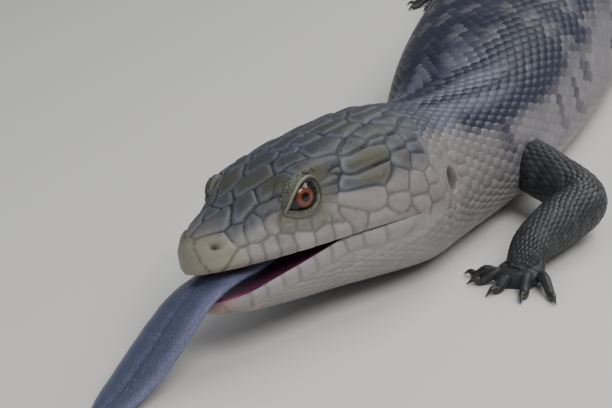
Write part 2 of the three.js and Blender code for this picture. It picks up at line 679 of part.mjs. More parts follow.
function poseLimb(kind, pose) {
  const frame = frameAt(kind.s);
  const [x, y] = floorPoint(kind.s);
  const heading = headingAt(kind.s);
  const floorFrame = {
    middle: new THREE.Vector3(x, y, 0),
    forward: new THREE.Vector3(Math.cos(heading), Math.sin(heading), 0),
    left: new THREE.Vector3(-Math.sin(heading), Math.cos(heading), 0),
    up: new THREE.Vector3(0, 0, 1),
  };
  const way = heading + radians(pose.heading);
  const spec = {
    root: place(frame, 0, pose.hand * kind.rootSide, kind.rootHeight),
    elbow: place(floorFrame, ...pose.elbow),
    wrist: place(floorFrame, ...pose.wrist),
    palm: place(floorFrame, ...pose.palm),
    heading: new THREE.Vector3(Math.cos(way), Math.sin(way), 0),
    toes: pose.toes ?? kind.toes,
    thick: kind.thick,
    hand: pose.hand,
  };
  const shank = spec.wrist.clone().sub(spec.elbow).normalize();
  const elbowPlane = spec.elbow.clone().sub(spec.root).normalize().add(shank);
  const [upper] = cutAt(upperLimb(spec), spec.elbow, elbowPlane);
  const below = lowerLimb(spec);
  const [lower] = cutAt(cutAt(below, spec.elbow, elbowPlane)[1], spec.wrist, shank);
  const [, foot] = cutAt(below.add(footSolid(spec)), spec.wrist, shank);
  return { upper, lower, foot };
}

// A grown copy of a length of the body, which leaves the gap round a limb's root.
function grownLength(from, to, step) {
  const rings = stations(from, to, step).map((s) => {
    const frame = frameAt(s);
    return bodyRing(s).map((point) => {
      const out = point.clone().sub(frame.middle);
      return point.clone().addScaledVector(out.normalize(), GAP);
    });
  });
  return solidOf(loft(rings));
}

// Colours from the live animal
const paints = {
  headBrown: { color: 0x8d8a72, roughness: 0.5 },
  jawPale: { color: 0xc9c2b4, roughness: 0.5 },
  tongueBlue: { color: 0x47587f, roughness: 0.35 },
  eyeOrange: { color: 0xa8431d, roughness: 0.1 },
  backGrey: { color: 0x83858c, roughness: 0.5 },
  limbDark: { color: 0x3f4244, roughness: 0.55 },
};
const materials = Object.fromEntries(Object.entries(paints)
  .map(([name, paint]) => [name, new THREE.MeshStandardMaterial({ ...paint, metalness: 0 })]));

const skink = new THREE.Group();

function addNode(name, solid, material) {
  const mesh = new THREE.Mesh(shapeOf(solid), materials[material]);
  mesh.name = name;
  skink.add(mesh);
}

addNode('head', headSolid(), 'headBrown');
addNode('lower_jaw', jawSolid(), 'jawPale');
addNode('tongue', tongueSolid(), 'tongueBlue');
addNode('eye_left', eyeball(1), 'eyeOrange');
addNode('eye_right', eyeball(-1), 'eyeOrange');
addNode('neck', bodyLength(NECK_START, SHOULDER_CUT, 4.5), 'backGrey');
addNode('torso_front', bodyLength(SHOULDER_CUT, TORSO_MIDDLE, 8), 'backGrey');
addNode('torso_rear', bodyLength(TORSO_MIDDLE, VENT, 8), 'backGrey');
addNode('tail_base', bodyLength(TAIL_CUTS[0], TAIL_CUTS[1], 8, TAIL_ARC_POINTS), 'backGrey');
addNode('tail_middle', bodyLength(TAIL_CUTS[1], TAIL_CUTS[2], 9, TAIL_ARC_POINTS), 'backGrey');
addNode('tail_tip', bodyLength(TAIL_CUTS[2], TOTAL_LENGTH, 9, TAIL_ARC_POINTS), 'backGrey');

const shoulderBlock = grownLength(70, 150, 4);
const hipBlock = grownLength(250, 340, 5);
for (const side of ['left', 'right']) {
  const arm = poseLimb(FORE_LIMB, POSES[`fore_${side}`]);
  addNode(`upper_arm_${side}`, arm.upper.subtract(shoulderBlock), 'limbDark');
  addNode(`forearm_${side}`, arm.lower, 'limbDark');
  addNode(`hand_${side}`, arm.foot, 'limbDark');
  const leg = poseLimb(HIND_LIMB, POSES[`hind_${side}`]);
  addNode(`thigh_${side}`, leg.upper.subtract(hipBlock), 'limbDark');
  addNode(`shin_${side}`, leg.lower, 'limbDark');
  addNode(`foot_${side}`, leg.foot, 'limbDark');
}

export default skink;
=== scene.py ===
# A blue-tongued skink, life size, lying on its belly with its head turned and its tongue out.
# Each section makes one part of the animal. Sizes are in millimetres and become metres in the mesh.
import math

import bpy
import numpy as np
from mathutils import Matrix, Vector


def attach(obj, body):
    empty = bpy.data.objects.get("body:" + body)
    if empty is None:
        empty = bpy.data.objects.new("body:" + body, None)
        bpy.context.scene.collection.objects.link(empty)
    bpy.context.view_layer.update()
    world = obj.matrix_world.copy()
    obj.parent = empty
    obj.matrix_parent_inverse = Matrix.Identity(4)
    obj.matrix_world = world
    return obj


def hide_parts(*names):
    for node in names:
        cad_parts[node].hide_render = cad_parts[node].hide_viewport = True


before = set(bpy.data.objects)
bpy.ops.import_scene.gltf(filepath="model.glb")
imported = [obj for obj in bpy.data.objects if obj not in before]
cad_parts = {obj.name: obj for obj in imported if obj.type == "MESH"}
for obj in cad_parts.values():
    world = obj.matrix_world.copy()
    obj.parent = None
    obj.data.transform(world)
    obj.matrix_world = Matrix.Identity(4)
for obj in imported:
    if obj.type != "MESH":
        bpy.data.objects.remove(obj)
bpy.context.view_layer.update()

bpy.ops.object.select_all(action="DESELECT")

# The skin of the head, body and tail. It is one supple hide, laid over the skull and ribs, and its
# section changes along the spine. Places along the body are lengths from the snout tip, and the
# skin lies inside the solid form by the depth of the scales that cover it.
HEAD_LENGTH = 60
NECK_START = 68
BELLY_PLACE = 210
TOTAL_LENGTH = 545
HEAD_TURN, HEAD_PITCH, HEAD_ROLL = 28, 5.2, 10.4
SHOULDER_ROLL = -3
LIP_HEIGHT = 15.5
MOUTH_CORNER = 50
SNOUT_ROUND = 7.4
SCALE_DEPTH = 0.45
FLOOR_FLAT = 0.05


def smooth(x, start, end):
    t = np.clip((np.asarray(x, float) - start) / (end - start), 0, 1)
    return t * t * (3 - 2 * t)


def bell(x):
    return np.exp(-np.square(x))


def sizes(*pairs):
    """A size that runs smoothly from place to place, as a function of the place."""
    places, values = np.array(pairs, float).T
    last = len(places) - 1

    def at(place):
        s = np.clip(np.asarray(place, float), places[0], places[last])
        i = np.clip(np.searchsorted(places, s, side="right"), 1, last)
        start, end = places[i - 1], places[i]
        before = np.where(i > 1, i - 2, i)
        after = np.where(i < last, i + 1, i - 1) % (last + 1)
        half = (end - start) / 2
        lead = half / (start - np.where(i > 1, places[before], end))
        trail = half / (np.where(i < last, places[after], start) - end)
        p = (s - start) / (end - start)
        return (
            values[before] * (-lead * p**3 + 2 * lead * p**2 - lead * p)
            + values[i - 1] * ((1 + lead) * p**3 + (-1.5 - 2 * lead) * p**2 + (lead - 0.5) * p + 1)
            + values[i] * ((-1 - trail) * p**3 + (1.5 + trail) * p**2 + 0.5 * p)
            + values[after] * (trail * p**3 - trail * p**2)
        )

    return at


body_half_width = sizes(
    (60, 20.6), (68, 18.8), (76, 18.2), (90, 19.4), (100, 21.4), (112, 24), (140, 28.5), (175, 31.5),
    (210, 32), (250, 30), (280, 26.5), (305, 22), (320, 17.6), (335, 15.6), (380, 12.6), (440, 8.6),
    (500, 4.8), (535, 2.1), (545, 0.5),
)
body_top = sizes(
    (60, 23.4), (68, 22.6), (85, 22.2), (100, 22.8), (120, 24.5), (150, 26.2), (210, 26.8), (260, 25.2),
    (300, 21), (325, 17.6), (380, 13.8), (440, 9.3), (500, 5.2), (535, 2.2), (545, 0.6),
)
body_bottom = sizes(
    (0, 14), (50, 14.6), (60, 15.6), (68, 15), (78, 13.6), (95, 13.6), (112, 15.2), (150, 15.8), (210, 16),
    (270, 14.6), (305, 12.4), (325, 10.4), (380, 8.4), (440, 5.9), (500, 3.3), (535, 1.5), (545, 0.5),
)
lip_half_width = sizes(
    (0, 8.6), (4, 9.4), (9, 11.3), (14, 12.8), (20, 14.7), (24, 15.8), (34, 18), (45, 20.3), (55, 21.4),
    (60, 20.8), (68, 18.8),
)
head_top = sizes(
    (0, 5.6), (1, 7.2), (3, 8.5), (7, 10.3), (12, 12.6), (18, 15.6), (24, 18.2), (32, 20.6), (45, 22.6),
    (60, 23.4), (68, 22.6),
)
head_squareness = sizes((0, 2.3), (12, 2.5), (22, 3.1), (32, 3), (45, 2.6), (68, 2.3))
jaw_bottom = sizes(
    (1.6, 8.6), (3, 9.5), (6, 10.6), (10, 11.4), (16, 12.1), (24, 12.9), (36, 13.8), (50, 15), (60, 15.7),
    (68, 15),
)


def heading_at(s):
    neck = -HEAD_TURN * (1 - smooth(s, 58, 105))
    hips = 7 * smooth(s, 215, 320)
    tail = -26 * smooth(s, 320, 430) + 34 * smooth(s, 440, 545)
    return np.radians(neck + hips + tail)


mile = np.arange(TOTAL_LENGTH + 1)
steps = heading_at(mile[:-1] + 0.5)
line_x = -np.concatenate([[0], np.cumsum(np.cos(steps))])
line_y = -np.concatenate([[0], np.cumsum(np.sin(steps))])
line_x -= line_x[BELLY_PLACE]
line_y -= line_y[BELLY_PLACE]


def floor_point(s):
    return np.interp(s, mile, line_x), np.interp(s, mile, line_y)


def axis_height(s):
    head = LIP_HEIGHT + (HEAD_LENGTH - s) * math.tan(math.radians(HEAD_PITCH))
    sunk = 0.6 - 0.3 * smooth(s, 300, 360)
    body = body_bottom(np.maximum(s, 104)) - sunk
    return head + (body - head) * smooth(s, 60, 104)


def unit(v):
    return v / np.linalg.norm(v, axis=-1, keepdims=True)


def frames_at(s):
    """The body's own frame at each place: middle, forward, left and up."""
    s = np.asarray(s, float)
    x, y = floor_point(s)
    heading = heading_at(s)
    reach = 0.5 + 6.5 * smooth(s, 75, 95)
    rise = (axis_height(s - reach) - axis_height(s + reach)) / (2 * reach)
    forward = unit(np.stack([np.cos(heading), np.sin(heading), rise], -1))
    level = np.stack([-np.sin(heading), np.cos(heading), np.zeros_like(heading)], -1)
    upright = np.cross(forward, level)
    shoulder = SHOULDER_ROLL * smooth(s, 70, 112) * (1 - smooth(s, 125, 190))
    roll = np.radians(HEAD_ROLL * (1 - smooth(s, 58, 112)) + shoulder)[..., None]
    left = level * np.cos(roll) + upright * np.sin(roll)
    up = upright * np.cos(roll) - level * np.sin(roll)
    return np.stack([x, y, axis_height(s)], -1), forward, left, up


def put(frames, ahead, side, height):
    middle, forward, left, up = frames
    ahead, side, height = (np.asarray(v, float)[..., None] for v in (ahead, side, height))
    return middle + forward * ahead + left * side + up * height


head_middle, head_forward, head_left, head_up = frames_at(HEAD_LENGTH - 4)
head_frame = (head_middle - 4 * head_forward, head_forward, head_left, head_up)


def in_head(places):
    places = np.asarray(places, float)
    return put(head_frame, places[..., 0], places[..., 1], places[..., 2])


def half_section(angle, half_width, height, squareness):
    c, n = np.cos(angle), np.sin(angle)
    side = np.sign(c) * half_width * np.abs(c) ** (2 / squareness)
    return side, height * np.abs(n) ** (2 / squareness)


def head_relief(ahead, side, height):
    """Swellings and hollows of the head: brow, cheek, jowl, temple and the rim of the lip."""
    y = np.abs(side)
    brow = 1.5 * bell((ahead - 36) / 9) * bell((y - 12.5) / 4) * bell((height - 16.5) / 4)
    cheek = -0.9 * bell((ahead - 48) / 6) * bell((height - 7) / 4) * bell((y - 11) / 5)
    jowl = 1.7 * bell((ahead - 7) / 8) * bell((height - 1) / 9) * bell((y - 20) / 7)
    temple = -0.8 * bell((ahead - 20) / 8) * bell((height - 13) / 4) * bell((y - 17) / 5)
    lip = 0.4 * bell((height - 1.2) / 1.4) * smooth(ahead, 8, 20)
    return brow + cheek + jowl + temple + lip


def grown(side, height, push):
    grow = 1 + push / np.maximum(np.hypot(side, height), 1)
    return side * grow, height * grow


def round_end(s, radius):
    return np.sqrt(np.clip(1 - np.square(1 - np.clip(s / radius, 0, 1)), 0, 1))


# The large horny shields of the head, each a thin plate fused to the skull. A plate grows round a
# short line, as far as its neighbours let it, so the seams fall half way between the lines.
PLATE_RISE = 0.75
SEAM_WIDTH = 0.4
plate_draw = np.random.default_rng(7)


def plates_along(lines):
    """Plates as start, end and weight: one along each line, or as many short ones as it says."""
    plates = []
    for start, end, weight, *count in lines:
        start, end = np.array(start, float), np.array(end, float)
        if count:
            middles = [start + (end - start) * (i / (count[0] - 1)) for i in range(count[0])]
            plates += [(middle, middle, weight) for middle in middles]
        else:
            plates.append((start, end, weight))
    return plates


def on_both_sides(plates):
    flip = np.array([1, -1, 1])
    return plates + [(start * flip, end * flip, weight) for start, end, weight in plates]


class Plates:
    """Plates of the head or jaw, each a little out of place, with a tone of its own."""

    def __init__(self, plates, wander):
        start, end, self.weight = (np.array(part, float) for part in zip(*plates))
        nudge = plate_draw.normal(0, wander, start.shape)
        self.start, self.end = start + nudge, end + nudge
        self.tone = plate_draw.normal(0, 1, len(start))

    def at(self, places):
        """For places on the head: how far from the nearest seam, and which plate."""
        run = self.end - self.start
        length = np.maximum((run**2).sum(-1), 1e-9)
        nearest = np.full(len(places), np.inf)
        second = np.full(len(places), np.inf)
        which = np.zeros(len(places), int)
        for i, start in enumerate(self.start):
            t = np.clip((places - start) @ run[i] / length[i], 0, 1)
            gap = np.linalg.norm(places - start - t[:, None] * run[i], axis=-1) - self.weight[i]
            closer = gap < nearest
            second = np.where(closer, nearest, np.minimum(second, gap))
            which = np.where(closer, i, which)
            nearest = np.minimum(nearest, gap)
        return (second - nearest) / 2, which


side_plates = plates_along([
    ((57.9, 4.7, 6.9), (55.2, 8.2, 5.6), 0.6),  # nasal, round the nostril
    ((55.9, 2, 9.2), (51.2, 4.6, 10.8), 0.7),  # above the nasal
    ((53.4, 10.3, 2.1), (43, 14, 1.9), 0.1, 4),  # front lip shields
    ((39.2, 15.3, 2.0), (29.8, 17.3, 2.4), 0.3, 3),  # lip shields under the eye
    ((28.5, 17.4, 5.3), (25.1, 18.5, 2.4), 0),
    ((21.6, 19.2, 1.1), (11.6, 20.9, 0.2), 0.2),  # last lip shield
    ((52.2, 8.8, 6.6), (51.2, 8.6, 8.2), 0),
    ((48.2, 10.3, 7), (47.4, 10, 8.8), 0.2),
    ((44.2, 12, 8), (44.2, 12, 8), 0),
    ((41.2, 14, 6.9), (38.2, 15.2, 5.7), -0.2, 2),
    ((35.4, 16.1, 4.4), (32.6, 16.7, 5.9), -0.4),
    ((30.5, 17, 6.8), (29.2, 17.4, 4), -0.4),
    ((49.8, 6.2, 10.9), (45.8, 6.6, 12.9), 0.4),  # prefrontal
    ((45.6, 10, 10.3), (43.2, 11.6, 11.4), -0.3),
    ((44.2, 2.6, 15), (38.4, 5.4, 17.2), 0.4),
    ((43.2, 9.2, 13.7), (39.4, 12.2, 16), 0.2),  # brow, before the eye
    ((36.6, 12.4, 17), (26.6, 14.8, 16.4), -0.4),  # brow, over the eye
    ((35.7, 7.4, 18.3), (31.6, 9.4, 19), 0),
    ((28.6, 10, 19.7), (22.8, 11.6, 19.9), 0.6),  # over the eye, the largest
    ((21.6, 13.8, 18.1), (17, 13.9, 18.8), 0),
    ((30, 4.8, 20), (30, 4.8, 20), -0.2),
    ((26.2, 4.8, 21.2), (22.9, 4.4, 21.9), 0),
    ((19.5, 4.8, 22.2), (14.6, 5.2, 22.9), 0),
    ((18.2, 9.4, 21.3), (14, 9.2, 21.8), 0),
    ((14.6, 13.4, 19.6), (8.6, 14, 19.5), 0.2),
    ((14.4, 15, 18), (11.8, 15.2, 18.3), -0.4),
    ((9, 17.1, 16.6), (9, 17.1, 16.6), 0.2),
    ((4.7, 16.9, 17.2), (4.7, 16.9, 17.2), 0),
    ((10, 7.4, 22.5), (6, 7.9, 22.6), 0),
    ((7, 12, 20.9), (3, 12, 20.8), 0),
    ((5.6, 3.6, 23.2), (1.6, 3.6, 23.4), 0),
    ((1, 14.4, 18.9), (1, 14.4, 18.9), 0),
    ((1.2, 10.2, 21.5), (-2, 10.4, 21), 0),
    ((1.6, 6.8, 22.8), (-2, 6.6, 22.9), 0),
    ((22.3, 16.3, 14.4), (14.6, 17.2, 15.6), 0.5),  # upper temporal
    ((26, 17.1, 11), (15.2, 19.1, 11.5), 0.1),  # lower temporal
    ((10.3, 19.3, 12.2), (9.6, 19, 13.4), 0),
    ((4.7, 19, 14.1), (0.6, 18.4, 13.8), -0.1, 2),
    ((6.2, 20.7, 10.6), (5.6, 20.6, 11.8), 0),
    ((26.6, 17.6, 8), (19.9, 19.6, 6.8), 0.4),  # cheek
    ((13.7, 20.9, 7.5), (12.6, 20.4, 9.4), 0.3),
    ((14.6, 21.1, 2.9), (14.1, 21, 4.7), 0.3),
    ((9, 22.2, 5.6), (8.1, 21.9, 7.6), 0.2),
    ((9.9, 22.5, 1), (9.6, 22.5, 2.8), 0.1),
    ((4.6, 22.4, 7.6), (5, 22.8, -0.8), -0.1, 3),
    ((29.8, 16.8, 9), (26.6, 15.7, 14.6), -0.7, 4),  # behind the eye
    ((0.6, 21.4, 9.6), (-2.6, 3, 23.6), -0.2, 5),
])
middle_plates = plates_along([
    ((60.2, 0, 2.4), (60, 0, 5.6), 0.7),  # rostral
    ((51.4, 0, 11.3), (51.4, 0, 11.3), 0.4),  # frontonasal
    ((47.6, 0, 13.4), (46.4, 0, 14), 0.3),
    ((36, -0.6, 18.6), (32.9, 0, 19.4), 0.6),
    ((28.2, 0, 20.9), (24, 0, 21.9), 0.6),
    ((19.6, 0, 22.6), (14.6, 0, 23.2), 0),
    ((9.6, 0, 23.4), (-1.6, 0, 23.5), 0, 2),
])
head_plates = Plates(middle_plates + on_both_sides(side_plates), 0.22)


def seam_shape(edge):
    return 1 - bell(edge / SEAM_WIDTH)


# Eyes, nostrils and ears leave their marks in the skin: the lids stand off the head in a low dome
# that opens over the eye, the nostril is a short slit, and the ear is a hollow behind the jowl.
EYE_PLACE = np.array([36.1, 10.7, 11.3])
EYE_RADIUS = 5.4
LID_RADIUS = 6.3
LID_INSIDE = 4.6
LID_TILT = math.radians(14)
NOSTRIL = np.array([56.6, 7.2, 5.6])
EAR = np.array([-4, 19.4, 4.2])


def curve_through(*controls, count=10):
    """Points along quadratic bends, given as the start and then each bend's control and end."""
    start, points = np.array(controls[0], float), []
    for control, end in zip(controls[1::2], controls[2::2]):
        control, end = np.array(control, float), np.array(end, float)
        for t in np.arange(count) / count:
            points.append(start * (1 - t) ** 2 + control * 2 * t * (1 - t) + end * t * t)
        start = end
    return np.array(points)


lid_outline = curve_through(
    (5.8, -1.4), (3.2, 2.3), (0.2, 3.1), (-3.9, 3.7), (-4.8, 0.2), (-4.6, -3.3), (-0.6, -3.3), (3.0, -3.1),
    (5.8, -1.4),
)


def lid_distance(flat):
    """How far flat places over the eye are outside the lids' opening, less than zero within it."""
    start, end = lid_outline, np.roll(lid_outline, -1, axis=0)
    run = end - start
    to = flat[:, None, :] - start
    t = np.clip((to * run).sum(-1) / (run**2).sum(-1), 0, 1)
    distance = np.linalg.norm(to - t[..., None] * run, axis=-1).min(1)
    crosses = (start[:, 1] > flat[:, None, 1]) != (end[:, 1] > flat[:, None, 1])
    rise = np.where(np.abs(run[:, 1]) < 1e-9, 1e-9, run[:, 1])
    at = start[:, 0] + (flat[:, None, 1] - start[:, 1]) * run[:, 0] / rise
    inside = (crosses & (flat[:, None, 0] < at)).sum(1) % 2 == 1
    return np.where(inside, -distance, distance)


def over_eye(direction):
    """Where a direction from the eye's centre falls on the lids' opening, laid out flat."""
    turn = np.arccos(np.clip(direction[:, 1], -1, 1)) * EYE_RADIUS
    x, z = (direction[:, i] / np.hypot(direction[:, 0], direction[:, 2]) * turn for i in (0, 2))
    c, n = math.cos(LID_TILT), math.sin(LID_TILT)
    return np.stack([x * c - z * n, x * n + z * c], -1)


def from_eye(flat):
    """The direction from the eye's centre of a place on the lids' opening."""
    c, n = math.cos(LID_TILT), math.sin(LID_TILT)
    x, z = flat[:, 0] * c + flat[:, 1] * n, flat[:, 1] * c - flat[:, 0] * n
    turn = np.hypot(x, z)
    rise = np.sin(turn / EYE_RADIUS) / turn
    return np.stack([x * rise, np.cos(turn / EYE_RADIUS), z * rise], -1)


def with_lids(places):
    """Head places moved for the lids, with how far each is from the rim of the opening."""
    rim = np.full(len(places), 9.0)
    for hand in (1, -1):
        own = places * np.array([1, hand, 1]) - EYE_PLACE
        reach = np.linalg.norm(own, axis=-1)
        near = (reach < 9.5) & (own[:, 1] > 0.3)
        out = own[near] / reach[near][:, None]
        distance = lid_distance(over_eye(out))
        dome = LID_RADIUS - 0.3 * smooth(distance, 0.8, 3.5)
        dome = LID_INSIDE + (dome - LID_INSIDE) * smooth(distance, -0.35, 0.3)
        blend = 0.5 * (dome + reach[near] + np.sqrt(np.square(dome - reach[near]) + 0.25))
        radius = np.where(distance < 0.45, dome, dome + (blend - dome) * smooth(distance, 0.45, 1.6))
        places[near] = (EYE_PLACE + out * radius[:, None]) * np.array([1, hand, 1])
        rim[near] = distance
    return rim


def snout_width(s):
    """Half the width of the lips, drawn in to the round end of the snout."""
    return lip_half_width(s) * round_end(np.maximum(s, 0.12), SNOUT_ROUND)


def head_section(s, angle, over=True):
    """Side and height of the head's top half or throat at a place, before its plates."""
    width, ahead = snout_width(s), HEAD_LENGTH - s
    if over:
        side, height = half_section(angle, width, head_top(s), head_squareness(s))
        side, height = grown(side, height, head_relief(ahead, side, height))
        under = np.square(np.clip(1 - height / 4, 0, 1))
        return side * (1 - 0.14 * under * (1 - smooth(s, 4, 16))), height
    side, height = half_section(angle, width, -jaw_bottom(s), 2.5)
    return grown(side, height, head_relief(ahead, side, height))


HEAD_OVER, HEAD_UNDER = 190, 50
over_angles = np.linspace(0, math.pi, HEAD_OVER + 1)
under_angles = np.linspace(math.pi, 0, HEAD_UNDER + 1)[1:-1]
front_places = np.concatenate([[0.02, 0.2, 0.45], np.linspace(0.75, MOUTH_CORNER, 138)])
rear_places = np.linspace(MOUTH_CORNER + 0.35, NECK_START, 50)


def head_rings(places, throat):
    s = places[:, None]
    side, height = head_section(s, over_angles)
    if throat:
        side_under, height_under = head_section(s, under_angles, over=False)
    else:
        across = np.linspace(-1, 1, HEAD_UNDER + 1)[1:-1]
        side_under = side[:, :1] * across
        vault = 2.6 * (1 - across**4) - 0.5 * bell((np.abs(across) - 0.8) / 0.09)
        height_under = vault * smooth(snout_width(s), 4, 12)
    sides = np.concatenate([side, side_under], 1)
    heights = np.concatenate([height, height_under], 1)
    ahead = np.broadcast_to(HEAD_LENGTH - s, sides.shape)
    return np.stack([ahead, sides, heights], -1)


head_front = head_rings(front_places, throat=False)
head_rear = head_rings(rear_places, throat=True)
head_flat = np.concatenate([head_front, head_rear]).reshape(-1, 3)
lid_rim = with_lids(head_flat)
seam, plate = head_plates.at(head_flat)
ring_count = len(front_places) + len(rear_places)
outer = np.zeros((ring_count, HEAD_OVER + HEAD_UNDER), bool)
outer[:, : HEAD_OVER + 1] = True
outer[len(front_places):] = True
outer = outer.reshape(-1)
ahead, side, height = head_flat.T
plate_zone = outer * smooth(ahead, -4, 3) * smooth(height, -3, 0.5) * smooth(lid_rim, 0.8, 1.6)


def on_spine(places):
    """Head places carried onto the bent line of the spine, which is straight within the head."""
    s = HEAD_LENGTH - places[:, 0]
    return put(frames_at(np.maximum(s, 0)), np.maximum(-s, 0), places[:, 1], places[:, 2])


crown = smooth(height / head_top(HEAD_LENGTH - ahead), 0.25, 0.5)
plate_ahead = ((head_plates.start + head_plates.end) / 2)[plate, 0]
reach = np.full(len(head_plates.start), 0.5)
np.maximum.at(reach, plate[outer], np.abs(plate_ahead - ahead)[outer])
shingle = np.clip((plate_ahead - ahead) / reach[plate], -1, 1)
crest = seam_shape(seam) * (PLATE_RISE * (0.62 + 0.38 * shingle) + 0.3 * smooth(seam, 0.3, 2.4))
crest = crest * (0.42 + 0.58 * crown)
lip_edge = -0.5 * bell(height / 0.7) * (ahead > 0) * smooth(ahead, 2, 9)
y = np.abs(side)
slit = np.hypot((ahead - NOSTRIL[0]) / 0.95, (height - NOSTRIL[2]) / 0.75)
nostril_dent = -1.5 * bell(slit) * (y > 4)
ear_reach = np.hypot((ahead - EAR[0]) / 2.3, (height - EAR[2]) / 3.5)
ear_dent = -3.2 * (1 - smooth(ear_reach, 0.5, 1)) * (y > 14)
coat_room = -SCALE_DEPTH * (1 - smooth(ahead, -7, 0)) * outer
push = outer * (crest * plate_zone + lip_edge + nostril_dent + ear_dent) + coat_room
head_flat[:, 1], head_flat[:, 2] = grown(side, height, push * (lid_rim > 1.2))
head_points = on_spine(head_flat)


def srgb(*hexes):
    """Colours as linear values, from their usual hex form."""
    values = np.array([[int(h[i:i + 2], 16) / 255 for i in (0, 2, 4)] for h in hexes])
    linear = np.where(values <= 0.04045, values / 12.92, ((values + 0.055) / 1.055) ** 2.4)
    return linear[0] if len(hexes) == 1 else linear


def tint(base, colour, amount):
    amount = np.asarray(amount, float)[..., None]
    return base * (1 - amount) + colour * amount


# The colours of the hide: grey and olive plates with near black seams, a pale cheek and throat, and
# a grey back with blue-black bands over a paler flank and belly.
# The pale blue grey for the rims of the head plates is a painted highlight.
PLATE_GREY, PLATE_OLIVE, PLATE_RIM_HIGHLIGHT, CHEEK, SNOUT = srgb("3a3e49", "4b4936", "667083", "827d7c", "84816f")
# The near black is partly the seams' own colour and partly painted shade. It also paints shade into the
# nostrils, ears and eyelids.
DARK_SEAMS_AND_SHADE, THROAT, MOUTH_RED, LID_PALE = srgb("1d1c1b", "8c8a88", "7d3761", "57574b")
BACK, NAPE, FLANK, BELLY, DARK_BANDS_AND_FOLD_SHADE, SCALE_RIM_SHADE = srgb(
    "51505b", "565a6b", "757378", "8c8a87", "0e1630", "25272e")


# Markings of the back: blue-black bands across it from shoulder to tail, broken up in front by rows
# of dashes along it, and dark lines along the nape. Skin and scales take them from the same place.
def stripe(s, up, places, angles, width):
    """A dark line along the body, through angles from the top of the back at places."""
    ends = smooth(s, places[0] - 3, places[0] + 3) * (1 - smooth(s, places[-1] - 3, places[-1] + 5))
    return bell((up - np.interp(s, places, angles)) / width) * ends


def from_top(angle):
    """Degrees round the body from the top of the back, to either side."""
    up = np.abs(np.degrees(angle) - 90)
    return np.minimum(up, 360 - up)


def markings_and_fold_shade(s, angle):
    """How dark the pattern is at places on the body, from nought to one, with the painted shade of a neck
    fold.
    """
    up = from_top(angle)
    lean = 2.6 * np.sin(up / 15 + s / 31) + 1.6 * np.sin(up / 7.3 + s / 13)
    wave = np.sin(2 * math.pi * (s + lean - 118) / (19 + 4 * smooth(s, 150, 300)))
    bands = smooth(wave, -0.15, 0.35)
    rows = smooth(np.sin(2 * math.pi * (up + 1.5 * np.sin(s / 9)) / 13.8), -0.3, 0.3)
    back = np.maximum(bands, 0.8 * rows * (1 - smooth(s, 150, 230)))
    back = back * smooth(s + 0.12 * up, 100, 116) * (1 - smooth(up + 5 * np.sin(s / 6), 50, 66))
    dashes = smooth(np.sin(2 * math.pi * (s + lean) / 11), 0.1, 0.7) * bell((up - 78) / 16)
    dashes = dashes * smooth(s, 102, 108) * smooth(np.sin(s / 5.3 + up / 9) + np.sin(s / 13.7), -0.9, 0.5)
    lines = stripe(s, up, [64, 93, 102, 112, 124], [2, 5, 16, 20, 22], 4.4)
    lines = lines + stripe(s, up, [67, 79, 87, 94, 112, 124], [21, 24, 29, 33, 36, 38], 4.2)
    patch = stripe(s, up, [73, 79, 86, 97, 110, 122], [50, 51, 54, 51, 52, 54], 9)
    # Painted shade of a fold in the skin on the side of the neck. The body's shape has no such fold.
    neck_fold_shade = 0.8 * bell((s - 84) / 2.2) * smooth(up, 60, 66) * (1 - smooth(up, 78, 86))
    return np.clip(back + 0.85 * dashes + 1.5 * lines + 1.5 * patch + neck_fold_shade, 0, 1)


def body_paint(s, angle, dark):
    low = from_top(angle)
    base = tint(BACK, NAPE, 1 - smooth(s, 96, 122))
    base = tint(base, FLANK, smooth(low, 40, 72))
    base = tint(base, PLATE_GREY, 0.85 * (1 - smooth(s, 58, 70)) * (1 - smooth(low, 40, 62)))
    base = tint(base, CHEEK, 0.9 * (1 - smooth(s, 64, 90)) * smooth(low, 44, 62))
    base = tint(base, BELLY, smooth(low, 88, 120))
    return tint(base, DARK_BANDS_AND_FOLD_SHADE, 0.95 * dark)


# Colours of the head: grey and olive plates above, pale cheeks and throat, and dark seams, partly painted
# shade. A painted highlight lies along the rims of the plates, strongest along each hind edge.
olive = bell((ahead - 17) / 9) * bell((height - 13.5) / 6.5)
olive = np.maximum(olive, 0.85 * bell((ahead - 38) / 10) * bell((height - 14) / 5))
olive = np.maximum(olive, 0.5 * bell((ahead - 13) / 11) * smooth(height, 9, 13))
temple = bell((ahead - 20) / 8)
snout_top = smooth(height / head_top(HEAD_LENGTH - ahead), 0.48, 0.74) * smooth(ahead, 36, 46)
covered = np.maximum(smooth(height, 9 - 1.8 * temple, 13 - 2.8 * temple), snout_top)
paint_head = tint(CHEEK, np.zeros(3), covered) + tint(PLATE_GREY, PLATE_OLIVE, olive) * covered[:, None]
covered = covered * (1 - smooth(ahead, 53, 56.5) * (1 - smooth(height, 7.6, 9.6)))
paint_head = tint(paint_head, SNOUT, smooth(ahead, 49, 57) * (1 - 0.55 * smooth(height, 6, 10)) * 0.9)
# Painted highlight along the rims of the plates, strongest on each plate's hind side.
hind_edge_highlight = bell((seam - 0.7) / 0.45) * covered * (0.25 + 0.45 * np.clip(-shingle, 0, 1))
paint_head = tint(paint_head, PLATE_RIM_HIGHLIGHT, hind_edge_highlight)
paint_head = tint(paint_head, THROAT, smooth(-height, -1, 2))
paint_head = paint_head * (1 + 0.08 * head_plates.tone[plate])[:, None]
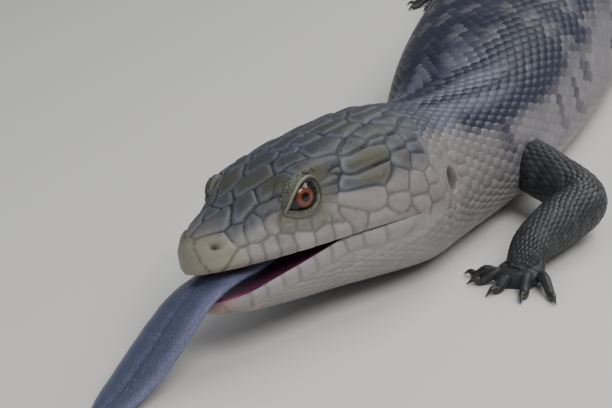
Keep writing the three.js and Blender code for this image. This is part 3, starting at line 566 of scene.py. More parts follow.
# Seams darkened: partly their own dark colour and partly painted shade in the grooves, which is wider where
# the temporal grooves run deep.
depth = bell(seam / (0.26 + 0.16 * temple * bell((height - 12) / 4))) * smooth(height, -1, 0.6)
paint_head = tint(paint_head, DARK_SEAMS_AND_SHADE, depth * (0.6 + 0.36 * covered))
paint_nape = body_paint(HEAD_LENGTH - ahead, np.arctan2(height, side), 0 * side)
nape = smooth(-ahead, -5, 1)[:, None]
paint_head = paint_head * (1 - nape) + nape * paint_nape
paint_head = tint(paint_head, LID_PALE, (lid_rim < 4) * (1 - smooth(lid_rim, 0.8, 2.6)))
paint_head = tint(paint_head, MOUTH_RED, ~outer * smooth(HEAD_LENGTH - ahead, 1, 3))
# Painted shade: the nostril slit, the ear hollow and the inside of the lids' opening are painted dark.
nostril_shade = outer * bell(slit / 0.75) * (y > 4)
ear_shade = outer * (1 - smooth(ear_reach, 0.3, 0.9)) * (y > 14)
paint_head = tint(paint_head, DARK_SEAMS_AND_SHADE * 0.4, np.maximum(nostril_shade, ear_shade))
paint_head = tint(paint_head, DARK_SEAMS_AND_SHADE * 0.5, (lid_rim < 0) * 1.0)
wet_head = (~outer).astype(float)


def body_surface(s, angle, lift=0.0):
    """Points of the body at places along and round it, lifted off it by a height."""
    half, top, bottom = body_half_width(s), body_top(s), body_bottom(s)
    over = np.sin(angle) >= 0
    side, height = half_section(angle, half, np.where(over, top, -bottom), np.where(over, 2.3, 2.5))
    if np.min(s) < NECK_START:
        sections = head_section(s, angle), head_section(s, angle, over=False)
        head_side, head_height = (np.where(over, *pair) for pair in zip(*sections))
        side = np.where(s < NECK_START, head_side, side)
        height = np.where(s < NECK_START, head_height, height)
    side, height = grown(side, height, lift)
    points = put(frames_at(s), np.zeros_like(side), side, height)
    points[..., 2] = np.maximum(points[..., 2], FLOOR_FLAT)
    return points


BODY_STEP = 2.8
body_places = np.arange(NECK_START + 1.2, TOTAL_LENGTH, BODY_STEP)
body_places = np.append(body_places[:-1], TOTAL_LENGTH)
body_angles = np.concatenate([over_angles, 2 * math.pi - under_angles])[::2]
grid_s, grid_angle = np.meshgrid(body_places, body_angles, indexing="ij")
body_points = body_surface(grid_s, grid_angle, -SCALE_DEPTH * smooth(TOTAL_LENGTH + 1 - grid_s, 0, 20))
body_points = body_points.reshape(-1, 3)
paint_body = body_paint(grid_s.ravel(), grid_angle.ravel(), markings_and_fold_shade(grid_s.ravel(), grid_angle.ravel()))


def ring_faces(rows, count, start=0):
    """Quads between closed rings of points, one ring after another."""
    first = start + np.arange(rows - 1)[:, None] * count + np.arange(count)
    after = start + np.arange(rows - 1)[:, None] * count + (np.arange(count) + 1) % count
    return np.stack([first, after, after + count, first + count], -1).reshape(-1, 4)


FLOOR_GAP = 0.02
SHARP_EDGE = math.radians(62)


class Shell:
    """Closed surfaces gathered into one mesh, with the colour and wetness of each point."""

    def __init__(self):
        self.points, self.faces, self.paint, self.wet, self.uv = [], [], [], [], []
        self.count = 0

    def add(self, points, faces, paint, wet=0.0, uv=None):
        for group in faces:
            self.faces.extend((np.asarray(group) + self.count).tolist())
        self.points.append(points)
        self.paint.append(np.broadcast_to(paint, (len(points), 3)))
        self.wet.append(np.broadcast_to(wet, len(points)))
        self.uv.append(np.zeros((len(points), 2)) if uv is None else uv)
        self.count += len(points)

    def piece(self, name, material, nodes=()):
        """The gathered mesh as a shown object, in metres, standing for the nodes it covers."""
        points = np.concatenate(self.points)
        points[:, 2] = np.maximum(points[:, 2], FLOOR_GAP)
        mesh = bpy.data.meshes.new(name)
        mesh.from_pydata((points / 1000).tolist(), [], self.faces)
        mesh.update()
        colour = mesh.attributes.new("paint", "FLOAT_COLOR", "POINT")
        paint = np.concatenate([np.concatenate(self.paint), np.ones((len(points), 1))], 1)
        colour.data.foreach_set("color", paint.astype(np.float32).ravel())
        wet = mesh.attributes.new("wet", "FLOAT", "POINT")
        wet.data.foreach_set("value", np.concatenate(self.wet).astype(np.float32))
        corner = np.zeros(len(mesh.loops), np.int32)
        mesh.loops.foreach_get("vertex_index", corner)
        layer = mesh.uv_layers.new(name="OFBake")
        layer.data.foreach_set("uv", np.concatenate(self.uv)[corner].astype(np.float32).ravel())
        mesh.polygons.foreach_set("use_smooth", np.ones(len(mesh.polygons), bool))
        mesh.set_sharp_from_angle(angle=SHARP_EDGE)
        made = bpy.data.objects.new(name, mesh)
        bpy.context.collection.objects.link(made)
        made.data.materials.append(material)
        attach(made, "root")
        if nodes:
            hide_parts(*nodes)
        return made


def loft(points, rows, count):
    """The faces of a closed shell made of rings, its two ends closed flat."""
    quads = ring_faces(rows, count)
    ends = [np.arange(count)[::-1][None], np.arange(count)[None] + (rows - 1) * count]
    inside = points.reshape(rows, count, 3)
    middle = inside.mean(1)
    a = inside[rows // 2, 0] - middle[rows // 2]
    b = inside[rows // 2, count // 8] - middle[rows // 2]
    along = middle[rows // 2 + 1] - middle[rows // 2 - 1]
    if np.dot(np.cross(a, b), along) < 0:
        return [quads, *ends]
    return [quads[:, ::-1], *[end[:, ::-1] for end in ends]]


skin = Shell()
ring_size = HEAD_OVER + HEAD_UNDER
whole = np.concatenate([head_points, body_points])
head_quads = ring_faces(ring_count, ring_size)
body_start = len(head_points)
half_ring = ring_size // 2
body_quads = ring_faces(len(body_places), half_ring, body_start)
last = (ring_count - 1) * ring_size
here = np.arange(half_ring)
one, two, three = last + 2 * here, last + 2 * here + 1, last + (2 * here + 2) % ring_size
low, beyond = body_start + here, body_start + (here + 1) % half_ring
seam_faces = np.concatenate([
    np.stack([one, two, low], -1), np.stack([two, beyond, low], -1), np.stack([two, three, beyond], -1),
])
snout_end = np.arange(ring_size)[::-1][None]
tail_end = np.arange(half_ring)[None] + body_start + (len(body_places) - 1) * half_ring
unwrap_head = np.stack([
    np.tile(np.linspace(0, 1, ring_size, endpoint=False), ring_count),
    np.repeat(np.concatenate([front_places, rear_places]), ring_size) / NECK_START * 0.45,
], -1)
unwrap_body = np.stack([
    np.tile(np.linspace(0, 1, half_ring, endpoint=False), len(body_places)),
    0.45 + np.repeat(body_places - NECK_START, half_ring) / (TOTAL_LENGTH - NECK_START) * 0.35,
], -1)
skin.add(
    whole,
    [head_quads, body_quads, seam_faces, snout_end, tail_end],
    np.concatenate([paint_head, paint_body]),
    np.concatenate([wet_head, np.zeros(len(body_points))]),
    np.concatenate([unwrap_head, unwrap_body]),
)

# The rims of the eyelids: a roll of skin round the opening, edged with rows of small round scales
# that crowd between the lids and the plates of the brow.
LID_ROLL = 0.42
ROLL_ROWS, ROLL_ROUND = 72, 10
LID_SPOT = 0.62
LID_GRANULES = ((1.25, 0.58, 17, 0.06, 0.44), (2.1, 0.6, 10, 0.09, 0.31))
LID_EDGE, LID_GRANULE = srgb("77786b", "4b4d43")
granule_draw = np.random.default_rng(17)


def ball_points(centre, out, radius, height, rows=4, count=8):
    """A low round scale on the skin: rings up to its top, in the flat across its way out."""
    across = unit(np.cross(out, [0.3, 0.1, 1.0]))
    other = np.cross(out, across)
    lift = np.linspace(-0.35, 1.5, rows)[:, None]
    turn = np.linspace(0, 2 * math.pi, count, endpoint=False)
    flat = np.cos(turn)[None, :, None] * across + np.sin(turn)[None, :, None] * other
    points = centre + np.cos(lift)[..., None] * radius * flat + np.sin(lift)[..., None] * height * out
    return points.reshape(-1, 3)


head_own = (head_flat - EYE_PLACE)[lid_rim < 9]
head_reach = np.linalg.norm(head_own, axis=-1)
head_out = head_own / head_reach[:, None]
outline_turn = np.roll(lid_outline, -1, axis=0) - np.roll(lid_outline, 1, axis=0)
outline_away = unit(np.stack([outline_turn[:, 1], -outline_turn[:, 0]], -1))
outline_away *= np.sign((outline_away * lid_outline).sum(-1).sum())
outline = np.concatenate([lid_outline, outline_away], 1)
outline = np.concatenate([outline, outline[:1]])


def lengths_along(points):
    """How far along a line of points each of them is."""
    return np.concatenate([[0], np.cumsum(np.linalg.norm(np.diff(points, axis=0), axis=1))])


outline_length = lengths_along(outline[:, :2])


def round_lids(share, distance):
    """Places at shares of the way round the opening, and at a distance outside it."""
    at = np.asarray(share) % 1 * outline_length[-1]
    x, z, away_x, away_z = (np.interp(at, outline_length, outline[:, i]) for i in range(4))
    return np.stack([x + away_x * distance, z + away_z * distance], -1)


for hand in (1, -1):
    mirror = np.array([1, hand, 1])
    share = np.linspace(0, 1, ROLL_ROWS, endpoint=False)
    turn = np.linspace(0, 2 * math.pi, ROLL_ROUND, endpoint=False)
    roll_points = []
    for a in turn:
        out = from_eye(round_lids(share, 0.38 + LID_ROLL * math.cos(a)))
        roll_points.append(EYE_PLACE + out * (LID_RADIUS - 0.12 + LID_ROLL * 0.8 * math.sin(a)))
    roll_points = np.stack(roll_points, 1).reshape(-1, 3) * mirror
    faces = ring_faces(ROLL_ROWS + 1, ROLL_ROUND) % len(roll_points)
    # Painted shade on the roll's inner side, where it turns in against the eye.
    roll_paint = tint(LID_EDGE, DARK_SEAMS_AND_SHADE, 0.75 * np.tile(smooth(-np.cos(turn), 0.1, 0.8), ROLL_ROWS))
    skin.add(on_spine(roll_points), [faces[:, ::hand]], roll_paint, 0.3,
             uv=np.full((len(roll_points), 2), LID_SPOT))
    for distance, radius, count, start, end in LID_GRANULES:
        share = start + (end - start) * (np.arange(count) + 0.5 * (distance > 2)) / count
        wander = distance + granule_draw.normal(0, 0.07, count)
        for flat, size in zip(round_lids(share, wander), granule_draw.normal(1, 0.1, count)):
            out = from_eye(flat[None])[0]
            reach = head_reach[(head_out @ out).argmax()]
            points = ball_points(EYE_PLACE + out * reach, out, radius * size, 0.25) * mirror
            tone = LID_GRANULE * granule_draw.normal(1, 0.07)
            skin.add(on_spine(points), [group[:, ::hand] for group in loft(points * mirror, 4, 8)], tone, 0.0,
                     uv=np.full((len(points), 2), LID_SPOT))

# The lower jaw, hung open from the corners of the mouth. Its skin runs on into the throat, and its
# rim carries the lower lip shields round a wet floor that dips under the tongue.
JAW_TIP = 1.6
JAW_ROUND = 6.6
GAPE_START = 31
GAPE_SLOPE = 0.235
JAW_OVER, JAW_UNDER = 30, 100


def jaw_section(s, angle, lift=0.0):
    """Side and height of the outside of jaw and throat at a place, and how far the jaw hangs."""
    drop = 0.3 * (1 - smooth(s, 40, MOUTH_CORNER)) + np.maximum(0, GAPE_START - s) * GAPE_SLOPE
    ratio = 0.94 + 0.06 * smooth(s, 30, MOUTH_CORNER)
    width = ratio * lip_half_width(s) * round_end(np.maximum(s - JAW_TIP, 0.1), JAW_ROUND)
    side, height = half_section(angle, width, drop - jaw_bottom(s), 2.5)
    return *grown(side, height, head_relief(HEAD_LENGTH - s, side, height) + lift), drop


def jaw_rings(places):
    s = places[:, None]
    side, height, drop = jaw_section(s, np.linspace(math.pi, 0, JAW_UNDER + 1))
    across = np.linspace(1, -1, JAW_OVER + 1)[1:-1]
    rim = side[:, -1:]
    hollow = 1.6 * (1 - across**4) * smooth(s, 4, 12) - 0.5 * bell((np.abs(across) - 0.86) / 0.07)
    sides = np.concatenate([side, rim * across], 1)
    heights = np.concatenate([height, -hollow * (1 - smooth(s, 40, 49))], 1) - drop
    ahead = np.broadcast_to(HEAD_LENGTH - s, sides.shape)
    tuck = 1 - 0.06 * smooth(s, MOUTH_CORNER + 0.45, MOUTH_CORNER + 1)
    return np.stack([ahead, sides * tuck, heights * tuck], -1), drop


jaw_places = np.linspace(JAW_TIP + 0.5, MOUTH_CORNER + 1.6, 124)
jaw_places = np.concatenate([[JAW_TIP + 0.01, JAW_TIP + 0.2], jaw_places])
jaw_grid, jaw_drop = jaw_rings(jaw_places)
jaw_size = JAW_OVER + JAW_UNDER
jaw_flat = jaw_grid.reshape(-1, 3)
jaw_outer = np.tile(np.arange(jaw_size) <= JAW_UNDER, len(jaw_places))
below_rim = -(jaw_grid[..., 2] + jaw_drop).reshape(-1)
lip_plates = plates_along([
    ((54.6, 9, -2), (31, 17, -2), 0, 7), ((27, 18, -2.1), (16, 20.4, -2.2), 0, 3),
    ((54.5, 5.6, -6), (14, 20.4, -6), 0, 11),
])
chin_plates = plates_along([((58.4, 0, -3), (57.6, 0, -6), 1.4), ((53, 0, -11), (46, 0, -12), 1, 2)])
jaw_plates = Plates(chin_plates + on_both_sides(lip_plates), 0.25)
hang = np.repeat(jaw_drop, jaw_size)
jaw_seam, jaw_plate = jaw_plates.at(jaw_flat + np.array([0, 0, 1]) * hang[:, None])
fade = (1 - smooth(np.repeat(jaw_places, jaw_size), 46, 50)) * (1 - smooth(below_rim, 3, 4.4))
jaw_push = jaw_outer * (0.35 * seam_shape(jaw_seam / 0.8) * smooth(below_rim, 0.2, 0.9) * fade)
jaw_push = jaw_push - 0.4 * bell(below_rim / 0.6) * jaw_outer * fade
jaw_flat[:, 1], lowered = grown(jaw_flat[:, 1], jaw_flat[:, 2] + hang, jaw_push)
jaw_flat[:, 2] = lowered - hang
CHIN_PINK = srgb("b3958c")
paint_jaw = THROAT * (1 + 0.05 * jaw_plates.tone[jaw_plate])[:, None]
paint_jaw = tint(paint_jaw, CHIN_PINK, smooth(jaw_flat[:, 0], 53, 58) * 0.8)
# Seams of the lip shields darkened: partly their own colour and partly painted shade in the grooves.
paint_jaw = tint(paint_jaw, DARK_SEAMS_AND_SHADE, 0.35 * bell(jaw_seam / 0.35) * fade)
paint_jaw = tint(paint_jaw, MOUTH_RED, ~jaw_outer)
unwrap_jaw = np.stack([
    np.tile(np.linspace(0, 0.6, jaw_size, endpoint=False), len(jaw_places)),
    0.81 + np.repeat(jaw_places, jaw_size) / MOUTH_CORNER * 0.18,
], -1)
jaw_points = on_spine(jaw_flat)
skin.add(jaw_points, loft(jaw_points, len(jaw_places), jaw_size), paint_jaw, ~jaw_outer * 1.0, unwrap_jaw)

# The limbs. Each is a tapering tube of flesh from shoulder or hip to palm, with a flat sole and five
# toes that arch over the knuckle and end in a horn claw.
CLAW_LENGTH = 3.6
TOE_SPACING = 2.5
LIMB_COAT = 0.35
LIMB_SPOT = 0.7
TOE_COAT, CLAW_INSET = 0.2, 0.06
TOE_END, CLAW_START = 0.56, 0.5
LIMB_DARK, LIMB_SPECK, CLAW_HORN = srgb("222427", "4c4f52", "2d3027")
FORE_TOES = [(-46, 7, 1.4), (-20, 8.6, 1.5), (2, 9.4, 1.5), (24, 8.8, 1.45), (52, 7, 1.35)]
TURNED_TOES = [(-112, 6.4, 1.45), (-80, 6.4, 1.5), (-38, 6.6, 1.55), (0, 7.6, 1.55), (26, 9, 1.45)]
HIND_TOES = [(-42, 6.4, 1.3), (-18, 9, 1.4), (3, 10.8, 1.45), (21, 11.6, 1.4), (48, 7.4, 1.3)]
FORE_LIMB = dict(s=101, root_side=13, root_height=-2, thick=(7.4, 6.7, 6.2, 6.1, 4.9, 3.6))
HIND_LIMB = dict(s=304, root_side=13, root_height=-1, thick=(9, 8.4, 7.2, 6.8, 5, 3.6))
POSES = [
    (FORE_LIMB, TURNED_TOES, 1, (25, 35, 9), (46, 26.6, 6.5), (51.5, 24.6, 2.4), 0),
    (FORE_LIMB, FORE_TOES, -1, (-12, -36, 13), (6, -44, 6.5), (10, -46, 2.4), -14),
    (HIND_LIMB, HIND_TOES, 1, (17, 38, 14), (-6, 48, 6.5), (-8, 52, 2.4), 38),
    (HIND_LIMB, HIND_TOES, -1, (24, -34, 14), (4, -47, 6.5), (2.5, -51, 2.4), -24),
]


def path_through(points):
    """A smooth path through points, as a function from nought to one of its place and direction."""
    points = np.asarray(points, float)
    ends = np.concatenate([[2 * points[0] - points[1]], points, [2 * points[-1] - points[-2]]])
    gaps = np.maximum(np.linalg.norm(np.diff(ends, axis=0), axis=1), 1e-4) ** 0.5
    spans = len(points) - 1

    def at(t):
        t = np.clip(np.asarray(t, float), 0, 1) * spans
        i = np.minimum(t.astype(int), spans - 1)
        p = (t - i)[:, None]
        p0, p1, p2, p3 = ends[i], ends[i + 1], ends[i + 2], ends[i + 3]
        d0, d1, d2 = gaps[i][:, None], gaps[i + 1][:, None], gaps[i + 2][:, None]
        leave = ((p1 - p0) / d0 - (p2 - p0) / (d0 + d1) + (p2 - p1) / d1) * d1
        arrive = ((p2 - p1) / d1 - (p3 - p1) / (d1 + d2) + (p3 - p2) / d2) * d1
        square = -3 * p1 + 3 * p2 - 2 * leave - arrive
        cube = 2 * p1 - 2 * p2 + leave + arrive
        return p1 + leave * p + square * p**2 + cube * p**3, leave + 2 * square * p + 3 * cube * p**2

    return at


def around(path, radius, t, angle, lift=0.0, flatten=1.0):
    """Points on a tube of flesh: round its path from the right side over the top to the left."""
    middle, along = path(t.ravel())
    left = np.cross([0.0, 0.0, 1.0], along)
    left = unit(np.where(np.linalg.norm(left, axis=-1, keepdims=True) < 0.05, [0.0, 1.0, 0.0], left))
    up = np.cross(unit(along), left)
    r = (radius(t.ravel()) + lift)[:, None]
    c, n = np.cos(angle.ravel())[:, None], np.sin(angle.ravel())[:, None]
    return middle - left * r * c + up * r * flatten * n


def tube_grid(rows, count, start, end):
    return np.meshgrid(
        np.linspace(start, end, rows), np.linspace(0, 2 * math.pi, count, endpoint=False), indexing="ij"
    )


def evenly(*values):
    return sizes(*zip(np.linspace(0, 1, len(values)), values))


speckle_draw = np.random.default_rng(11)


limbs, claws = [], Shell()


def limb_colour(fleck):
    return tint(LIMB_DARK, LIMB_SPECK, fleck * 0.9)


def add_tube(path, radius, rows, count, inset, flatten=1.0, start=0.0, end=1.0, horn=False):
    """A closed tube along a path: flesh, which joins the skin, or horn, which joins the claws."""
    t, angle = tube_grid(rows, count, start, end)
    points = around(path, radius, t, angle, -inset, flatten)
    faces = loft(points, rows, count)
    if horn:
        claws.add(points, faces, CLAW_HORN)
    else:
        paint = limb_colour(speckle_draw.random(len(points)) ** 4)
        skin.add(points, faces, paint, uv=np.full((len(points), 2), LIMB_SPOT))


for kind, toes, hand, elbow, wrist, palm, turn in POSES:
    x, y = floor_point(kind["s"])
    heading = float(heading_at(kind["s"]))
    level = (
        np.array([x, y, 0.0]), np.array([math.cos(heading), math.sin(heading), 0.0]),
        np.array([-math.sin(heading), math.cos(heading), 0.0]), np.array([0.0, 0.0, 1.0]),
    )
    root = put(frames_at(kind["s"]), 0, hand * kind["root_side"], kind["root_height"])
    elbow, wrist, palm = (put(level, *joint) for joint in (elbow, wrist, palm))
    way = heading + math.radians(turn)
    ahead_way = np.array([math.cos(way), math.sin(way), 0.0])
    bulge = (root + elbow) / 2 + np.array([0, 0, 0.8])
    arm_path = path_through([root, bulge, elbow, (elbow + wrist) / 2, wrist, palm])
    arm_radius = evenly(*kind["thick"])
    limbs.append((arm_path, arm_radius))
    add_tube(arm_path, arm_radius, 60, 28, LIMB_COAT)
    step = (wrist + palm) / 2
    step[2] = 3.2
    low_palm, front = palm.copy(), palm + ahead_way * 3.4
    low_palm[2], front[2] = 2.2, 1.9
    sole_path, sole_radius = path_through([wrist, step, low_palm, front]), evenly(4.4, 5.4, 6.2, 4.6)
    add_tube(sole_path, sole_radius, 16, 24, LIMB_COAT, flatten=0.5)
    for i, (spread, reach, thick) in enumerate(toes):
        swing = math.radians(spread * hand)
        c, n = math.cos(swing), math.sin(swing)
        toe_way = np.array([ahead_way[0] * c - ahead_way[1] * n, ahead_way[0] * n + ahead_way[1] * c, 0])
        across = np.array([-ahead_way[1], ahead_way[0], 0]) * hand * (2 - i) * -TOE_SPACING
        start = palm + across
        start[2] = 1.9
        tip = start + toe_way * reach
        knuckle, pad = start + (tip - start) * 0.45, tip.copy()
        bend, end = tip + toe_way * CLAW_LENGTH * 0.4, tip + toe_way * CLAW_LENGTH
        knuckle[2], pad[2], bend[2], end[2] = thick * 1.9, thick * 0.75 - 0.3, thick * 0.95, 0.35
        toe_path = path_through([start, knuckle, pad, bend, end])
        toe_radius = evenly(thick * 1.15, thick, thick * 0.8, thick * 0.5, 0.12)
        add_tube(toe_path, toe_radius, 16, 14, TOE_COAT, end=TOE_END)
        add_tube(toe_path, toe_radius, 12, 12, CLAW_INSET, start=CLAW_START, horn=True)


# Finishes. Each begins with its points' own paint and adds the grain and gloss of its surface. Value
# lets the numbers of a finish be worked out with plain arithmetic.
class Value:
    """A number on its way through a material's nodes. Arithmetic on it adds Math nodes."""

    def __init__(self, finish, socket):
        self.finish, self.socket = finish, socket

    def work(self, operation, *others):
        return self.finish.node("ShaderNodeMath", {"operation": operation}, *others)

    def __add__(self, other):
        return self.work("ADD", self, other)

    def __rsub__(self, other):
        return self.work("SUBTRACT", other, self)

    def __mul__(self, other):
        return self.work("MULTIPLY", self, other)


class Finish:
    """A material in the making: node() adds any node, and the shader's sockets are set by name."""

    def __init__(self, name, **constants):
        self.material = bpy.data.materials.new(name)
        self.material.use_nodes = True
        self.tree = self.material.node_tree
        self.shader = self.tree.nodes["Principled BSDF"]
        for socket, value in constants.items():
            self.shader.inputs[socket.replace("_", " ")].default_value = value

    def node(self, kind, settings, *values, output=0, **named):
        made = self.tree.nodes.new(kind)
        for key, value in settings.items():
            setattr(made, key, value)
        for key, value in [*enumerate(values), *named.items()]:
            socket = made.inputs[key if isinstance(key, int) else key.replace("_", " ")]
            if isinstance(value, Value):
                self.tree.links.new(value.socket, socket)
            else:
                socket.default_value = value
        return Value(self, made.outputs[output])

    def attribute(self, name, output):
        return self.node("ShaderNodeAttribute", {"attribute_name": name}, output=output)

    def noise(self, scale, detail=2.0):
        place = self.node("ShaderNodeTexCoord", {}, output="Object")
        return self.node("ShaderNodeTexNoise", {}, place, Scale=scale, Detail=detail, output="Fac")

    def shade(self, socket, value):
        self.tree.links.new(value.socket, self.shader.inputs[socket])

    def bump(self, height, depth):
        """Raises the surface by a height from nought to one, times a depth in metres."""
        self.shade("Normal", self.node("ShaderNodeBump", {}, Height=height, Distance=depth, Strength=1.0))

    def darker(self, colour, amount):
        """A colour multiplied by a varying number."""
        return self.node("ShaderNodeVectorMath", {"operation": "SCALE"}, colour, Scale=amount)


def hide_finish(name, grain, depth, roughness):
    """Horny skin: mottled a little, satin, and wet where the points say so."""
    finish = Finish(name, Specular_IOR_Level=0.5)
    mottle = finish.noise(900, 3) * 0.5 + finish.noise(260, 2) * 0.5
    paint = finish.attribute("paint", "Color")
    finish.shade("Base Color", finish.darker(paint, mottle * 0.5 + 0.75))
    wet = finish.attribute("wet", "Fac")
    finish.shade("Roughness", (finish.noise(600) * 0.2 + roughness) * (1 - wet * 0.7))
    finish.bump(finish.noise(grain, 3), depth)
    return finish.material


skin_node_names = ["head", "lower_jaw", "neck", "torso_front", "torso_rear", "tail_base", "tail_middle",
                   "tail_tip"]
for side_name in ("left", "right"):
    limb_nodes = ("upper_arm", "forearm", "hand", "thigh", "shin", "foot")
    skin_node_names += [f"{node}_{side_name}" for node in limb_nodes]
skin_piece = skin.piece("skin", hide_finish("hide", 2600, 0.00012, 0.38), skin_node_names)
claw_piece = claws.piece("claws", hide_finish("claw horn", 1500, 0.00003, 0.25))


# The eyes: a wet ball that swells a little in front, over an orange iris with a dark rim and a round
# black pupil. Each looks a little ahead of sideways.
PUPIL_EDGE, IRIS_EDGE, RIM_EDGE = 11.5, 28, 34
GAZE_AHEAD = math.radians(10)
IRIS_ORANGE, IRIS_DEEP, EYE_DARK, EYE_TINT = srgb("6e3a24", "2c130d", "090808", "1f1f17")
eye_draw = np.random.default_rng(5)
for hand, side_name in ((1, "left"), (-1, "right")):
    eye = Shell()
    polar = np.concatenate([np.linspace(0.3, 40, 90), np.linspace(42, 179.7, 40)])
    turn = np.linspace(0, 2 * math.pi, 96, endpoint=False)
    p, a = np.meshgrid(np.radians(polar), turn, indexing="ij")
    swell = 0.25 * (1 - smooth(np.degrees(p), 18, 34))
    radius = EYE_RADIUS - 0.25 + swell
    out = np.stack([np.sin(p) * np.cos(a), np.cos(p), np.sin(p) * np.sin(a)], -1)
    c, n = math.cos(GAZE_AHEAD), math.sin(GAZE_AHEAD)
    out = np.stack([out[..., 0] * c + out[..., 1] * n, out[..., 1] * c - out[..., 0] * n, out[..., 2]], -1)
    places = EYE_PLACE + radius[..., None] * out
    places = places.reshape(-1, 3) * np.array([1, hand, 1])
    degrees = np.degrees(p).ravel()
    streaks = np.interp(a.ravel(), np.linspace(0, 2 * math.pi, 73), eye_draw.random(73))
    iris = tint(IRIS_ORANGE, IRIS_DEEP, smooth(degrees, 17, 29))
    iris = iris * (0.8 + 0.4 * streaks)[:, None]
    paint = tint(iris, EYE_DARK, 1 - smooth(degrees, PUPIL_EDGE - 0.8, PUPIL_EDGE + 0.8))
    paint = tint(paint, EYE_DARK, smooth(degrees, IRIS_EDGE - 1, IRIS_EDGE + 2))
    paint = tint(paint, EYE_TINT, 0.7 * smooth(degrees, RIM_EDGE, 44))
    points = in_head(places)
    eye.add(points, loft(points, len(polar), len(turn)), paint, 1.0)
    eye_finish = Finish(
        f"eye {side_name}", Roughness=0.2, Specular_IOR_Level=0.25, Coat_Weight=0.6, Coat_Roughness=0.02)
    eye_finish.shade("Base Color", eye_finish.attribute("paint", "Color"))
    eye_piece = eye.piece(f"eyeball_{side_name}", eye_finish.material, [f"eye_{side_name}"])

# The tongue: broad, flat and muscular, with a groove down its middle, out over the lower lip and
# down to the floor, where its thin tip lies flat.
tongue_path = path_through(in_head([
    (30, 0, 0.2), (38, 0, -0.6), (47, 0, -2.2), (54, -0.2, -3.1), (60.8, -0.8, -5.4), (67, -1.6, -9.6),
    (73, -2.4, -14.2), (79, -3, -18.2), (85, -3.4, -21.2), (90.5, -3.6, -22.6),
]))
tongue_half_width = sizes((0, 7), (0.35, 7.8), (0.6, 8), (0.8, 7), (0.92, 5.2), (1, 1.4))
tongue_half_thick = sizes((0, 1.3), (0.3, 1.9), (0.7, 1.7), (0.92, 1.1), (1, 0.5))
TONGUE_BLUE, TONGUE_LAVENDER = srgb("454e6b", "77799a")
TONGUE_ROWS, TONGUE_ROUND = 190, 96
fine = np.linspace(0, 1, 600)
lengths = lengths_along(tongue_path(fine)[0])
share = np.linspace(0, 1, TONGUE_ROWS)
middle, along = tongue_path(np.interp(share * lengths[-1], lengths, fine))
along = unit(along)
first_heading = float(heading_at(0))
level_left = np.array([-math.sin(first_heading), math.cos(first_heading), 0])
tongue_left = unit(head_left + (level_left - head_left) * smooth(share, 0.4, 0.8)[:, None])
tongue_up = unit(np.cross(along, tongue_left))
angle = np.linspace(0, 2 * math.pi, TONGUE_ROUND, endpoint=False)
across = np.cos(angle)
groove = np.where(np.sin(angle) > 0, 1 - 0.5 * bell(across / 0.1), 1)
ripple = 1 + 0.06 * np.sin(share[:, None] * 70 + 3 * across**2)
wide = -tongue_half_width(share)[:, None] * across
tall = tongue_half_thick(share)[:, None] * np.sin(angle) * groove * ripple
points = middle[:, None] + tongue_left[:, None] * wide[..., None] + tongue_up[:, None] * tall[..., None]
points = points.reshape(-1, 3)
pale = 0.6 * np.broadcast_to(bell((np.abs(across) - 0.9) / 0.2), (TONGUE_ROWS, TONGUE_ROUND))
paint = tint(TONGUE_BLUE, TONGUE_LAVENDER, pale)
tongue = Shell()
tongue.add(points, loft(points, TONGUE_ROWS, TONGUE_ROUND), paint.reshape(-1, 3), 1.0)
tongue_finish = Finish("tongue", Specular_IOR_Level=0.6, Subsurface_Weight=0.15, Coat_Weight=0.25)
tongue_finish.shader.inputs["Subsurface Radius"].default_value = (0.002, 0.001, 0.001)
tongue_finish.shade("Base Color", tongue_finish.darker(
    tongue_finish.attribute("paint", "Color"), tongue_finish.noise(1400, 3) * 0.9 + 0.55))
tongue_finish.shade("Roughness", tongue_finish.noise(500) * 0.25 + 0.25)
tongue_finish.bump(tongue_finish.noise(2200, 4), 0.0006)
tongue.piece("tongue_flesh", tongue_finish.material, ["tongue"])


# The small scales of the neck, body and tail: smooth overlapping plates in slanting rows, each with
# a round free edge lying over the next behind it. They sit in the skin by their front ends.
SCALE_SIDES = 14
SCALE_TOP = 2 * SCALE_SIDES
SCALE_POINTS = SCALE_TOP + 1
CREST_SHARE = 0.86
SCALE_REACH, SCALE_BREADTH = 2.15, 1.22
MAP_PATCH = 0.0015
scale_draw = np.random.default_rng(3)
scale_turn = np.linspace(0, 2 * math.pi, SCALE_SIDES, endpoint=False)
scale_rim = np.stack([np.sin(scale_turn), 0.5 - 0.5 * np.cos(scale_turn)], -1)
scale_rim[:, 0] *= 1 - 0.35 * smooth(0.5 - scale_rim[:, 1], 0, 0.5)
scale_crest = np.stack([scale_rim[:, 0] * CREST_SHARE, 0.5 + (scale_rim[:, 1] - 0.5) * CREST_SHARE], -1)
scale_plan = np.concatenate([scale_rim, scale_crest, [[0, 0.5]]])
scale_height = np.concatenate([np.zeros(SCALE_SIDES), np.full(SCALE_SIDES, 0.2), [0.26]])
scale_shade = np.concatenate([np.full(SCALE_SIDES, 0.75), np.full(SCALE_SIDES, 0.12), [0]])
here = np.arange(SCALE_SIDES)
after = (here + 1) % SCALE_SIDES
scale_sides = np.stack([here, after, after + SCALE_SIDES, here + SCALE_SIDES], -1)
scale_crown = np.stack([here + SCALE_SIDES, after + SCALE_SIDES, np.full(SCALE_SIDES, SCALE_TOP)], -1)
scale_base = here[::-1][None]


